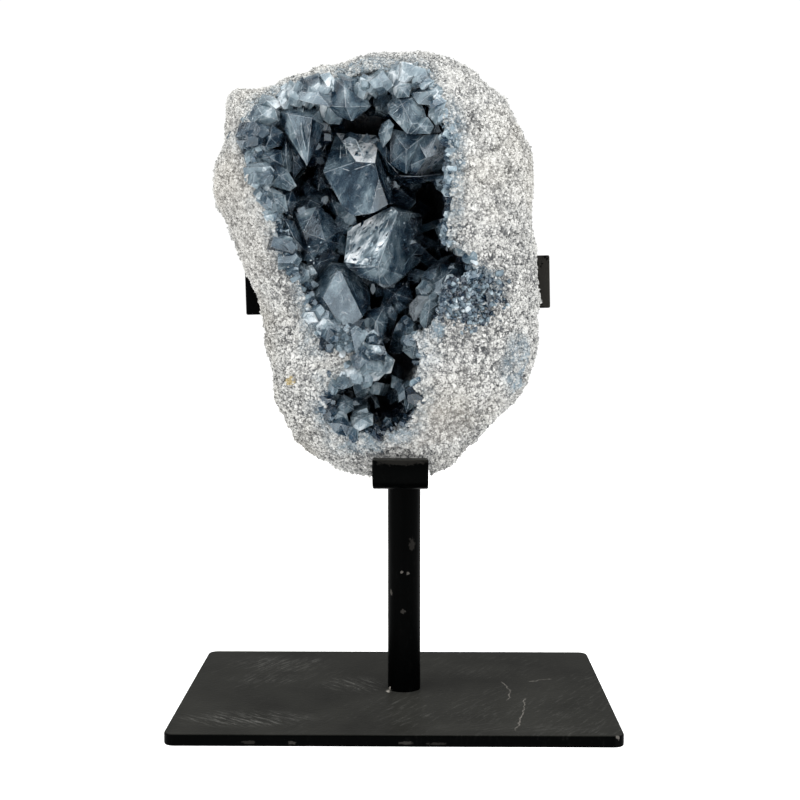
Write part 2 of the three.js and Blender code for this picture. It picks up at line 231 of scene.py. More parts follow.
# newMaterial: a material made of nodes, with its tree and its shader
def newMaterial(name):
    material = bpy.data.materials.new(name)
    material.use_nodes = True
    return material, material.node_tree, material.node_tree.nodes["Principled BSDF"]


# feed: inputs by name or number, each a link from a socket, a number, or a colour, which gets its alpha of 1
def feed(tree, node, inputs):
    for key, value in inputs.items():
        socket = node.inputs[key]
        if isinstance(value, bpy.types.NodeSocket):
            tree.links.new(value, socket)
        else:
            socket.default_value = (*value, 1) if socket.type == "RGBA" else value


# addNode: a node of a kind with its settings and inputs; gives the output that is asked for
def addNode(tree, kind, inputs, output=0, **settings):
    node = tree.nodes.new("ShaderNode" + kind)
    for name, value in settings.items():
        setattr(node, name, value)
    feed(tree, node, inputs)
    return node.outputs[output]


# placeNode: the place on the object, turned back by the degrees and then multiplied by the stretch
def placeNode(tree, stretch=(1, 1, 1), turn=(0, 0, 0)):
    scale, angles = [1 / number for number in stretch], [radians(angle) for angle in turn]
    inputs = {"Vector": addNode(tree, "TexCoord", {}, "Object"), "Scale": scale, "Rotation": angles}
    return addNode(tree, "Mapping", inputs, vector_type="TEXTURE")


# noiseNode: noise with a scale in cells in a metre; the ridged kind gives thin bright lines
def noiseNode(tree, scale, detail=3.0, rough=0.5, stretch=(1, 1, 1), turn=(0, 0, 0), kind="FBM"):
    inputs = {"Scale": scale, "Detail": detail, "Roughness": rough, "Vector": placeNode(tree, stretch, turn)}
    return addNode(tree, "TexNoise", inputs, "Fac", noise_type=kind)


# rangeNode: the value's way from low to high, kept from 0 to 1 and spread over least to most
def rangeNode(tree, value, low, high, least=0.0, most=1.0):
    limits = {"From Min": low, "From Max": high, "To Min": least, "To Max": most}
    return addNode(tree, "MapRange", {"Value": value, **limits}, "Result")


# spreadNoise: a noise's scale, detail and roughness, then its range: low, high, least and most
def spreadNoise(tree, look, **way):
    return rangeNode(tree, noiseNode(tree, *look[:3], **way), *look[3:])


# attributeNode: the numbers of one name that a piece holds on its points or faces
def attributeNode(tree, name):
    return addNode(tree, "Attribute", {}, "Fac", attribute_name=name)


# mathNode: one operation on two values, each a socket or a number
def mathNode(tree, operation, first, second=0.0):
    return addNode(tree, "Math", {0: first, 1: second}, operation=operation)


# timesNode: the product of two values
def timesNode(tree, first, second):
    return mathNode(tree, "MULTIPLY", first, second)


# plusNode: the sum of two values
def plusNode(tree, first, second):
    return mathNode(tree, "ADD", first, second)


# rampNode: a colour read between stops, each a place from 0 to 1 and its colour
def rampNode(tree, value, stops):
    colour = addNode(tree, "ValToRGB", {"Fac": value})
    elements = colour.node.color_ramp.elements
    while len(elements) < len(stops):
        elements.new(0.5)
    for element, (place, shade) in zip(elements, stops):
        element.position = place
        element.color = (*shade, 1)
    return colour


# mixNode: the first colour at a share of 0 and the second at 1; a Mix node keeps colours at these sockets
def mixNode(tree, share, first, second):
    return addNode(tree, "Mix", {0: share, 6: first, 7: second}, 2, data_type="RGBA")


# bumpNode: a normal tilted by the slope of the height, as if it stood out by the distance (m)
def bumpNode(tree, height, strength, distance, normal=None):
    inputs = {"Strength": strength, "Distance": distance, "Height": height}
    return addNode(tree, "Bump", inputs if normal is None else {**inputs, "Normal": normal})


# awayNode: how far from a place, in parts of the radius along each axis, which is the length of
# (here - place) / radius
def awayNode(tree, place, radius):
    place, radius = ([number * millimetre for number in numbers] for numbers in (place, radius))
    here = addNode(tree, "TexCoord", {}, "Object")
    off = addNode(tree, "VectorMath", {0: here, 1: place}, operation="SUBTRACT")
    parts = addNode(tree, "VectorMath", {0: off, 1: radius}, operation="DIVIDE")
    return addNode(tree, "VectorMath", {0: parts}, "Value", operation="LENGTH")


# spotNode: 1 inside an ellipsoid about a place (mm) and 0 outside, where noise makes the edge ragged
def spotNode(tree, place, radius, ragged=0.3, scale=900):
    wobble = spreadNoise(tree, (scale, 3, 0.5, 0.3, 0.7, -ragged, ragged))
    return rangeNode(tree, plusNode(tree, awayNode(tree, place, radius), wobble), 1.05, 0.9)


# In every material, a noise is given as its cells in a metre, detail and roughness, and then, where they
# follow, the low and high between which it counts and the least and most that it is spread over
steel = {
    "black": (0.0003, 0.0004, 0.0004),
    # the paler grey of dust and of painted top light on upward faces
    "dustAndTopLight": (0.0235, 0.0235, 0.021),
    "scratched": (0.15, 0.15, 0.14),
    "bare": (0.33, 0.31, 0.28),
    "gloss": 0.01,
    "clouds": (30, 5, 0.6),
    "patches": (22, 3, 0.5, 0.44, 0.62, 0, 0.25),
    "dust": (420, 5, 0.7, 0.45, 0.7),
    "rubbed": (110, 5, 0.7),
    "strokes": (300, 5, 0.8, 0.5, 0.66),
    "peel": (700, 3, 0.5),
    "wander": (220, 4, 0.6, 0.3, 0.7, -0.9, 0.9),  # of the curved scratches, mm
    # places where the paint is chipped, and last a patch of painted light on the right arm's front end: x, y,
    # z, radii and share
    "chipsAndLitEnd": [
        ((5.8, -3.7, 57.5), (1.0, 2, 2.2), 0.03), ((2.2, -4.4, 47.6), (0.5, 1, 0.5), 0.2),
        ((4.4, -4.2, 47.2), (0.5, 1, 0.6), 0.15), ((-1.6, -2.4, 40), (0.4, 1, 1.2), 0.12),
        ((2.6, -4.4, 33.4), (0.8, 1, 0.9), 0.06), ((-2.6, -2.6, 4.6), (0.9, 1.6, 0.9), 0.8),
        ((-47, -50, 1.4), (2.4, 0.5, 0.5), 0.03), ((-33, -50, 1.3), (1.4, 0.5, 0.5), 0.06),
        ((4, -50, 1.4), (2.2, 0.5, 0.5), 0.05), ((14, -50, 1.2), (3.0, 0.5, 0.4), 0.03),
        ((73, -50, 3.4), (1.0, 0.6, 0.8), 0.2), ((2, -31, 90.6), (8.4, 0.6, 1.2), 0.02),
        # painted light: the right arm's front end is made paler, while the left arm's end stays black
        ((54, 8, 150), (5, 0.8, 11), 0.05),
    ],
    # patches of the plate's top with short scratches: place, radii, share and which way they run (degrees)
    "rubs": [
        ((-44, 32, 4), (22, 14, 2), 0.9, 58), ((-48, 12, 4), (18, 8, 2), 0.6, 64),
        ((-14, 5, 4), (17, 12, 2), 0.8, -50), ((-50, -34, 4), (28, 10, 2), 0.9, -38),
        ((40, -42, 4), (34, 6, 2), 0.3, 25), ((34, 22, 4), (26, 12, 2), 0.25, 60),
    ],
    # long curved scratches on the plate: centre, radius, the middle of what shows, and its reach
    "curves": [
        ((8.5, -2, 4), 32.5, (40.9, -2.1, 4), 12), ((-115.5, -1.2, 4), 161.2, (43, -28, 4), 18.5),
        ((87.2, -74.3, 4), 92.2, (53, 11.3, 4), 5),
    ],
}


# scratchNode: 1 on a thin wandering arc, where how far off a circle (mm) comes near 0 with noise added, and
# only within reach of a place
def scratchNode(tree, centre, radius, place, reach):
    off = mathNode(tree, "SUBTRACT", awayNode(tree, centre, (1, 1, 50)), radius)
    off = mathNode(tree, "ABSOLUTE", plusNode(tree, off, spreadNoise(tree, steel["wander"])))
    near = rangeNode(tree, awayNode(tree, place, (reach, reach, 9)), 1.0, 0.8)
    return timesNode(tree, rangeNode(tree, off, 0.34, 0.08), near)


# Black paint on steel: satin gloss that clouds over, dust with painted top light on upward faces, short
# scratches rubbed in one way, bare chips and painted light on the right arm's front end
def blackPaint():
    material, tree, shader = newMaterial("blackPaint")
    clouds = noiseNode(tree, *steel["clouds"])
    normal = addNode(tree, "NewGeometry", {}, "True Normal")
    upwards = rangeNode(tree, addNode(tree, "SeparateXYZ", {0: normal}, "Z"), 0.6, 0.95)
    # dust and painted top light: faces that look upwards are mixed towards a paler grey, as if lit from above
    topLitDust = timesNode(tree, upwards, rangeNode(tree, clouds, 0.32, 0.68, 0.5, 1.0))
    colour = mixNode(tree, topLitDust, steel["black"], steel["dustAndTopLight"])
    rubbed = noiseNode(tree, *steel["rubbed"], stretch=(1.2, 9, 3), turn=(0, 0, 58))
    lines = timesNode(tree, spreadNoise(tree, steel["patches"]), rangeNode(tree, rubbed, 0.54, 0.66))
    for place, radius, share, way in steel["rubs"]:
        strokes = spreadNoise(tree, steel["strokes"], stretch=(0.35, 3.6, 1), turn=(0, 0, way))
        rub = mathNode(tree, "SUBTRACT", 1.0, awayNode(tree, place, radius))
        rub = timesNode(tree, rangeNode(tree, rub, 0, 0.6, 0, share), strokes)
        lines = mathNode(tree, "MAXIMUM", lines, rub)
    worn = rangeNode(tree, spreadNoise(tree, steel["dust"]), 0, 1, 0.4, 1)
    lines = timesNode(tree, timesNode(tree, lines, worn), rangeNode(tree, upwards, 0, 1, 0.12, 1))
    colour = mixNode(tree, lines, colour, steel["scratched"])
    for curve in steel["curves"]:
        shown = timesNode(tree, timesNode(tree, scratchNode(tree, *curve), worn), 0.5)
        colour = mixNode(tree, shown, colour, steel["bare"])
    # chipped paint, and painted light on the right arm's front end
    for place, radius, share in steel["chipsAndLitEnd"]:
        bare = spotNode(tree, place, radius, ragged=0.5, scale=1200)
        colour = mixNode(tree, timesNode(tree, bare, share), colour, steel["bare"])
    peel = bumpNode(tree, noiseNode(tree, *steel["peel"]), 0.25, 0.0002)
    feed(tree, shader, {
        "Base Color": colour,
        "Roughness": rangeNode(tree, clouds, 0.3, 0.7, 0.27, 0.4),
        "Specular IOR Level": steel["gloss"],
        "Normal": bumpNode(tree, rubbed, 0.1, 0.0002, peel),
    })
    return material


sugar = {
    # from the pits in painted shade over grey to white and bright grains
    "tones": [(0.0, (0.055, 0.058, 0.062)), (0.34, (0.19, 0.193, 0.19)), (0.68, (0.425, 0.425, 0.41)),
              (1.0, (0.53, 0.53, 0.515))],
    "blue": (0.13, 0.18, 0.215),
    "tan": (0.36, 0.32, 0.25),
    # near black of the hollow's dark crystal lining and of painted shade deep in it
    "liningAndShade": (0.0012, 0.002, 0.0035),
    "gloss": 0.3,
    "fine": (1100, 4, 0.65),
    "mottles": [(75, 5, 0.65, 0.32, 0.66, -0.2, 0.12), (190, 3, 0.6, 0.34, 0.66, -0.05, 0.05),
                (2000, 3, 0.7, 0.32, 0.45, -0.6, 0.07)],
    "tanned": (30, 4, 0.5, 0.52, 0.74, 0, 0.25),
    "blued": (230, 4, 0.7, 0.36, 0.58, 0.1, 0.95),
    # below the middle the pits are painted darker, as painted shade of deeper pits: place and radii, mm, and
    # their noise
    "shadedPitsArea": ((5, -30, 120), (70, 25, 40)),
    "pitShade": (900, 4, 0.75, 0.36, 0.52, -0.55, 0.13),
    # bluish patches on the front: middle x and z, half width and height
    "bluish": [(25, 148, 10, 8), (42, 121, 6, 10), (-27, 140, 6, 14), (-12, 97, 12, 5), (14, 134, 3, 4),
               (19, 190, 5, 20)],
    # single stains, and last two grey patches of painted shade on the lower front and the left side: place,
    # radii (mm), colour and share
    "stainsAndShade": [
        ((-34.5, -26, 117.3), (2.0, 5, 2.0), (0.34, 0.26, 0.10), 0.75),
        ((15.1, -30, 189.1), (3.6, 6, 3.4), (0.60, 0.55, 0.44), 0.8),
        # painted shade: grey patches that darken the lower front and the left side
        ((9, -30, 102), (20, 14, 7), (0.30, 0.28, 0.25), 0.3),
        ((-50, -22, 172), (14, 16, 24), (0.30, 0.28, 0.25), 0.25),
    ],
}


# Sugary rock: grains from grey to white with painted shade in the pits between, bluish towards the hollow,
# and dark inside it from its lining and painted shade
def sugarRock():
    material, tree, shader = newMaterial("sugarRock")
    fine = noiseNode(tree, *sugar["fine"])
    mottled = plusNode(tree, attributeNode(tree, "tone"), rangeNode(tree, fine, 0.3, 0.7, -0.3, 0.26))
    for look in sugar["mottles"]:
        mottled = plusNode(tree, mottled, spreadNoise(tree, look))
    # painted shade: the pits darker over the lower front
    pitShade = timesNode(tree, spotNode(tree, *sugar["shadedPitsArea"]), spreadNoise(tree, sugar["pitShade"]))
    colour = rampNode(tree, plusNode(tree, mottled, pitShade), sugar["tones"])
    colour = mixNode(tree, spreadNoise(tree, sugar["tanned"]), colour, sugar["tan"])
    for place, radius, patchColour, share in sugar["stainsAndShade"]:
        colour = mixNode(tree, timesNode(tree, spotNode(tree, place, radius), share), colour, patchColour)
    bluish = timesNode(tree, attributeNode(tree, "blue"), spreadNoise(tree, sugar["blued"]))
    colour = mixNode(tree, bluish, colour, sugar["blue"])
    feed(tree, shader, {
        # the hollow's wall goes towards its dark lining and painted shade, the deeper it lies
        "Base Color": mixNode(tree, attributeNode(tree, "deep"), colour, sugar["liningAndShade"]),
        "Roughness": rangeNode(tree, fine, 0.3, 0.7, 0.42, 0.85),
        "Specular IOR Level": sugar["gloss"],
        "Normal": bumpNode(tree, fine, 0.6, 0.0006),
    })
    return material


crystal = {
    # from deep and clear over the body's blue-grey to pale and frosted
    "tones": [(0.0, (0.003, 0.010, 0.025)), (0.33, (0.028, 0.059, 0.092)), (0.68, (0.182, 0.24, 0.272)),
              (1.0, (0.66, 0.69, 0.71))],
    "frost": (0.66, 0.69, 0.71),
    # torn faces: streaks from dark to white, the brightest being painted highlights
    "tornWithHighlights": [(0.10, (0.012, 0.022, 0.032)), (0.28, (0.09, 0.13, 0.155)), (0.47, (0.40, 0.45, 0.48)),
             (0.70, (0.88, 0.91, 0.93))],
    "absorbs": (0.40, 0.58, 0.80),
    "density": 60.0,
    "glance": (0.8, 0.92, 1.0),
    "bends": 1.62,
    "veils": (150, 6, 0.62, 0.36, 0.66, -0.24, 0.3),
    "wisps": (130, 5, 0.55, 1.3, 2.2, 0, 0.3),
    # white specks of painted glints
    "glintSpecks": (900, 3, 0.6, 0.69, 0.75, 0, 0.5),
    "growth": (420, 4, 0.6),
    "broad": (95, 3, 0.5, 0.34, 0.66, -0.2, 0.5),
    "streaky": (210, 8, 0.72, 0.3, 0.7, -0.08, 0.62),
    "cracks": [(190, (30, 10, 50), 0.025), (330, (10, 60, 0), 0.05)],  # cells in a metre, turn and how thin
}


# crackNode: 1 on thin lines between cells, where a second noise lets them show
def crackNode(tree, scale, turn, thin):
    inputs = {"Scale": scale, "Vector": placeNode(tree, (1, 1, 0.6), turn)}
    apart = addNode(tree, "TexVoronoi", inputs, "Distance", feature="DISTANCE_TO_EDGE")
    shown = spreadNoise(tree, (scale * 1.1, 2, 0.5, 0.54, 0.64))
    return timesNode(tree, rangeNode(tree, apart, thin, 0), shown)


# Celestite: clear to milky, blue-grey, glassy with growth lines, with white specks of painted glints and
# painted highlights on worn edges; tone 0 is dark and clear, 1 pale and milky.
# Frosted faces are torn ones, with streaks from white to dark, the brightest of them painted highlights
def celestite(name, clear):
    material, tree, shader = newMaterial(name)
    frost = attributeNode(tree, "frost")
    veils = spreadNoise(tree, crystal["veils"], stretch=(1, 1, 0.55), turn=(0, 25, 0))
    wisps = spreadNoise(tree, crystal["wisps"], turn=(20, 0, 40), kind="RIDGED_MULTIFRACTAL")
    milk = plusNode(tree, plusNode(tree, attributeNode(tree, "tone"), veils), wisps)
    colour = rampNode(tree, milk, crystal["tones"])
    cracks = mathNode(tree, "MAXIMUM", *[crackNode(tree, *crack) for crack in crystal["cracks"]])
    # painted highlight: worn edges mixed towards the pale frost colour
    edge = rangeNode(tree, attributeNode(tree, "edge"), 0.8, 1.0, 0, 0.34)
    # towards the pale frost colour: painted glints, cracks and painted edge highlights
    for share in (spreadNoise(tree, crystal["glintSpecks"]), timesNode(tree, cracks, 0.4), edge):
        colour = mixNode(tree, share, colour, crystal["frost"])
    # the pattern of the torn faces, which carries their painted highlights
    tornWithHighlights = plusNode(tree, spreadNoise(tree, crystal["broad"], turn=(0, 30, 0)),
                    spreadNoise(tree, crystal["streaky"], stretch=(3.2, 1.6, 0.42), turn=(0, 27, 0)))
    growth = noiseNode(tree, *crystal["growth"], stretch=(3.2, 1, 0.35), turn=(0, 18, 0))
    rough = plusNode(tree, rangeNode(tree, milk, 0.1, 0.9, 0.05, 0.32), timesNode(tree, frost, 0.2))
    clearness = timesNode(tree, rangeNode(tree, milk, 0.1, 0.9, clear, clear * 0.3),
                          rangeNode(tree, frost, 0, 1, 1, 0.25))
    lines = bumpNode(tree, growth, 0.16, 0.0004)
    feed(tree, shader, {
        "Base Color": mixNode(tree, frost, colour, rampNode(tree, tornWithHighlights, crystal["tornWithHighlights"])),
        "Roughness": rough,
        "Transmission Weight": clearness,
        "Normal": bumpNode(tree, timesNode(tree, tornWithHighlights, frost), 0.7, 0.0009, lines),
        "IOR": crystal["bends"],
        "Specular Tint": crystal["glance"],
    })
    inside = {"Color": crystal["absorbs"], "Density": crystal["density"]}
    feed(tree, tree.nodes["Material Output"], {"Volume": addNode(tree, "VolumeAbsorption", inside)})
    return material


paint = blackPaint()
rockFinish = sugarRock()
clearFinish = celestite("clearCelestite", 0.8)
druseFinish = celestite("druseCelestite", 0.5)
print("materials made")


plate = {"wide": 150, "deep": 100, "thick": 4, "corner": 3.5, "edge": 0.5}
post = {"across": 11.8, "x": 3, "y": 1.5, "bottom": 4, "top": 80.6, "columns": 72, "rings": 60, "end": 0.4,
        "dent": 0.035, "smaller": 0.04}
bar = {"wide": 18.8, "thick": 6, "edge": 0.6}
hook = {"x": 2, "front": -31, "underside": 80.6, "lipTop": 91.2, "spineTop": 168}
strap = {"x": 0.5, "across": 109.2, "middle": 149.3, "armFront": 8, "back": 33, "bend": 16, "roll": 1.35}


# roundedRectangle: quarter circles of the corner's radius about the four corner centres, one after another
def roundedRectangle(halfWide, halfDeep, corner, steps):
    turns = np.linspace(0, pi / 2, steps)
    parts = []
    for quarter, (sideX, sideY) in enumerate(((1, 1), (-1, 1), (-1, -1), (1, -1))):
        angle = turns + quarter * pi / 2
        parts.append(np.stack([sideX * (halfWide - corner) + corner * np.cos(angle),
                               sideY * (halfDeep - corner) + corner * np.sin(angle)], axis=1))
    return np.concatenate(parts)


# steelPiece: a closed grid of rings between two poles, painted; edges that turn by more than sharp stay crisp
def steelPiece(name, node, points, rings, columns, sharp=None):
    faces = facingOut(points, closedGrid(rings, columns))
    piece = makePiece(name, points, faces, paint, [node], smooth=sharp is not None)
    if sharp is not None:
        piece.data.set_sharp_from_angle(angle=radians(sharp))


# Base plate: its rounded outline drawn in along a quarter circle at the top and bottom edge
def buildPlate():
    edge = plate["edge"]
    turns = np.linspace(0, pi / 2, 4)
    inset = np.concatenate([edge * (1 - np.sin(turns)), edge * (1 - np.cos(turns))])
    height = np.concatenate([edge * (1 - np.cos(turns)), plate["thick"] - edge * (1 - np.sin(turns))])
    rings = []
    for drawnIn, z in zip(inset, height):
        outline = roundedRectangle(plate["wide"] / 2 - drawnIn, plate["deep"] / 2 - drawnIn,
                                   plate["corner"] - drawnIn, 9)
        rings.append(np.column_stack([outline, np.full(len(outline), z)]))
    points = np.concatenate([[[0, 0, 0]], *rings, [[0, 0, plate["thick"]]]])
    steelPiece("steelPlate", "base_plate", points, len(rings), len(rings[0]))


# Post: a circle carried up, made smaller by a little more than the noise adds to it here and there
def buildPost():
    columns, bottom, top, end = (post[name] for name in ("columns", "bottom", "top", "end"))
    heights = np.concatenate([[bottom], np.linspace(bottom + end, top - end, post["rings"]), [top]])
    angle = np.arange(columns) * 2 * pi / columns
    z, turn = np.meshgrid(heights, angle, indexing="ij")
    radius = post["across"] / 2 - post["smaller"]
    acrossX, acrossY = np.cos(turn), np.sin(turn)
    points = np.stack([post["x"] + radius * acrossX, post["y"] + radius * acrossY, z], -1).reshape(-1, 3)
    outwards = np.stack([acrossX, acrossY], -1).reshape(-1, 2)
    points[:, :2] += post["dent"] * smoothNoise(points, 6)[:, None] * outwards
    points = np.concatenate([[[post["x"], post["y"], bottom]], points, [[post["x"], post["y"], top]]])
    steelPiece("steelPost", "post", points, len(heights), columns, sharp=40)


# bentPath: straight runs joined by arcs of the bend's radius, in a plane, with the way it heads at each point
def bentPath(corners, bend, steps):
    corners = np.array(corners, float)
    ways = unit(np.diff(corners, axis=0))
    path, heads = [corners[0]], [ways[0]]
    for corner, arriving, leaving in zip(corners[1:], ways, ways[1:]):
        start = corner - arriving * bend
        for share in np.linspace(0, 1, steps):
            angle = share * pi / 2
            path.append(start + bend * (arriving * np.sin(angle) + leaving * (1 - np.cos(angle))))
            heads.append(arriving * np.cos(angle) + leaving * np.sin(angle))
    return np.array([*path, corners[-1]]), np.array([*heads, ways[-1]])


# flatBar: a rounded rectangle carried along a path in a plane and drawn in over four rings at its two ends
def flatBar(path, heads):
    edge = bar["edge"]
    lead = np.array([[0.0], [0.12], [0.45], [1.0]])
    drawn = [1, 0.53, 0.16, 0]
    first = path[0] + heads[0] * edge * lead
    last = path[-1] - heads[-1] * edge * lead[::-1]
    path = np.concatenate([first, path[1:-1], last])
    heads = np.concatenate([np.repeat(heads[:1], 4, 0), heads[1:-1], np.repeat(heads[-1:], 4, 0)])
    inset = edge * np.concatenate([drawn, np.zeros(len(path) - 8), drawn[::-1]])
    sides = np.stack([-heads[:, 1], heads[:, 0]], axis=1)
    rings = []
    for place, side, drawnIn in zip(path, sides, inset):
        section = roundedRectangle(bar["thick"] / 2 - drawnIn, bar["wide"] / 2 - drawnIn,
                                   max(edge - drawnIn, 0.05), 5)
        rings.append(np.column_stack([place + section[:, :1] * side, section[:, 1]]))
    return np.concatenate([[[*path[0], 0]], *rings, [[*path[-1], 0]]]), len(rings), len(rings[0])


# Bottom hook: the bar's middle line runs down the lip, along the sole and up the spine
def buildHook():
    half = bar["thick"] / 2
    front, sole, back = hook["front"] + half, hook["underside"] + half, strap["back"] + half
    corners = [[front, hook["lipTop"]], [front, sole], [back, sole], [back, hook["spineTop"]]]
    points, rings, columns = flatBar(*bentPath(corners, half, 7))
    points = np.column_stack([points[:, 2] + hook["x"], points[:, 0], points[:, 1]])
    steelPiece("steelHook", "bottom_hook", points, rings, columns, sharp=50)


# Side strap: the bar's middle line comes back, across behind the stone and forward again, and the whole rolls
# a little about the line from front to back
def buildStrap():
    half = bar["thick"] / 2
    reach, front, back = strap["across"] / 2 - half, strap["armFront"], strap["back"] - half
    corners = [[reach, front], [reach, back], [-reach, back], [-reach, front]]
    points, rings, columns = flatBar(*bentPath(corners, strap["bend"] - half, 11))
    roll = radians(strap["roll"])
    points = np.column_stack([
        strap["x"] + points[:, 0] * np.cos(roll) - points[:, 2] * np.sin(roll),
        points[:, 1],
        strap["middle"] + points[:, 0] * np.sin(roll) + points[:, 2] * np.cos(roll),
    ])
    steelPiece("steelStrap", "side_strap", points, rings, columns, sharp=50)


buildPlate()
buildPost()
buildHook()
buildStrap()


stone = {
    "middle": (-6, -6, 157),
    "front": 31,
    "back": 33,
    "frontRound": 0.74,
    "backRound": 0.86,
    "columns": 450,
    "rings": 212,
    "spacing": 60,  # radius (mm) of the stone along whose profile the rings lie evenly
    "frontDepth": 12,  # mm behind the middle, how far back the hollow may push the front
    "lumps": (1.6, 17),  # height and width, mm
    "knobs": (1.2, 8.5),
    "drawnIn": 0.6,
    "outline": [
        [48.5, 157], [48.5, 188], [45, 200], [39, 211], [30, 219], [19, 226], [6, 228.4], [-6, 228],
        [-18, 225], [-41, 217], [-57, 215.8], [-59, 201], [-62, 188], [-61.5, 177], [-53, 157], [-47, 142],
        [-43.5, 124], [-42, 113], [-38, 101], [-31, 90.5], [-19, 84], [-4, 81.6], [9, 82], [20, 87],
        [38, 105], [45.5, 114], [49, 127],
    ],
}
# Its skin: width and height (mm) of the grains and ledges, and how far a grain is off the others and sunk in
skin = {
    "coarse": (2.9, 1.15),
    "fine": (1.5, 0.75),
    "ledges": (4.6, 0.55),
    "uneven": 0.7,
    "sunk": 0.5,
    "inHollow": (0.6, -0.4),  # there the relief is this share of it, and this much lower (mm)
    "top": 227.6,  # nothing of the rock is higher, mm
    "grainsTop": 228.1,
    "tone": 0.64,
    "marks": (0.3, 0.25),  # how much each coarse and each fine grain differs in tone
    # painted shade in the crevices between the coarse and the fine grains: from and to (parts of a grain) and
    # how much darker
    "creviceShading": ((0.42, 0.78, 0.42), (0.45, 0.8, 0.5)),
    "shade": 0.85,
    "bluing": (-9, 1.5),  # from and to, mm inside the rim, moved by noise of this strength and width
    "wavering": (4, 7),
}


# ellipse: twelve corners, the middle plus the half width times the cosine and the half height times the sine
def ellipse(x, z, halfWide, halfHigh):
    angle = np.arange(12) * pi / 6
    return np.stack([x + halfWide * np.cos(angle), z + halfHigh * np.sin(angle)], axis=1)


# The hollow: the depth y of its rim, how many levels its wall is found from, and its bowl, pocket and neck,
# each with its rim's outline and centre and its deepest point
hollow = {"rimY": -33, "levels": 60, "columns": 360, "none": -999.0}
hollow["parts"] = [
    {
        "rim": [
            [25, 153.5], [22, 159.5], [17, 163], [16, 170], [17, 176], [17.5, 184], [16, 197], [13, 210],
            [6, 219], [-4, 221], [-19, 218], [-35, 213], [-46, 204], [-46, 190], [-40, 172], [-33, 153],
            [-22, 134], [-6, 131], [10, 136], [14, 144], [17, 150.5],
        ],
        "centre": (-9, 177),
        "deepest": (-2, 16, 172),
    },
    {"rim": ellipse(-8, 110, 15, 10.5), "centre": (-8, 110), "deepest": (-4, -4, 112)},
    {"rim": ellipse(0, 125, 8, 12), "centre": (0, 125), "deepest": (1, -8, 125)},
]


# wallOf: the hollow's depth y at places in the front view, and how far inside the rim they are (negative
# outside). At each level between rim and deepest point the outline is the rim's, moved and shrunk as an
# ellipse's section; the wall is where a place last lies inside, found between two levels in proportion.
def wallOf(x, z):
    rimY, levels = hollow["rimY"], hollow["levels"]
    wall = np.full(len(x), hollow["none"])
    inside = wall.copy()
    for part in hollow["parts"]:
        centreX, centreZ = part["centre"]
        deepX, deepY, deepZ = part["deepest"]
        curve = smoothLoop(part["rim"], hollow["columns"]) - np.array(part["centre"])
        angles = np.arctan2(curve[:, 1], curve[:, 0])
        order = np.argsort(angles)
        reach = np.linalg.norm(curve, axis=1)[order]
        previous = None
        partWall = np.full(len(x), hollow["none"])
        for level in np.linspace(0, 1, levels):
            offX = x - centreX - (deepX - centreX) * level
            offZ = z - centreZ - (deepZ - centreZ) * level
            share = max(1 - level ** 2, 0) ** 0.5
            outline = np.interp(np.arctan2(offZ, offX), angles[order], reach, period=2 * pi)
            margin = share * outline - np.hypot(offX, offZ)
            if previous is None:
                inside = np.maximum(inside, margin)
            else:
                leaving = (previous > 0) & (margin <= 0)
                way = np.where(leaving, previous / np.maximum(previous - margin, 1e-6), 0)
                depth = level - (1 - way) / (levels - 1)
                partWall = np.where(leaving, rimY + (deepY - rimY) * depth, partWall)
            previous = margin
        partWall = np.where(previous > 0, deepY, partWall)
        wall = np.maximum(wall, partWall)
    return wall, inside


# clearOfCradle: moves points that lie in a bar, or nearer to it than the gap, out to its inner face
def clearOfCradle(points, gap=0.35):
    x, y, z = points.T.copy()
    inHook = np.abs(x - hook["x"]) < bar["wide"] / 2 + gap
    sole = hook["underside"] + bar["thick"] + gap
    z = np.where(inHook & (y > hook["front"] + bar["thick"]) & (z < sole), sole, z)
    lipBack = hook["front"] + bar["thick"] + gap
    y = np.where(inHook & (y < lipBack) & (z < hook["lipTop"] + gap), lipBack, y)
    z = np.where(inHook & (y < lipBack + 0.1) & (z < sole), sole, z)
    rise = (x - strap["x"]) * np.tan(radians(strap["roll"]))
    inStrap = (np.abs(z - strap["middle"] - rise) < bar["wide"] / 2 + gap) & (y > strap["armFront"] - gap)
    reach = strap["across"] / 2 - bar["thick"] - gap
    x = np.where(inStrap, np.clip(x, strap["x"] - reach, strap["x"] + reach), x)
    return np.stack([x, y, z], axis=1)


# stoneProfile: the share of the outline, sin(t)^n, and the depth, cos(t)^n, from the front at t = 0 to the
# back at pi
def stoneProfile(angles):
    front = angles < pi / 2
    roundness = np.where(front, stone["frontRound"], stone["backRound"])
    share = np.maximum(0, np.sin(angles)) ** roundness
    return share, np.abs(np.cos(angles)) ** roundness * np.where(front, -stone["front"], stone["back"])


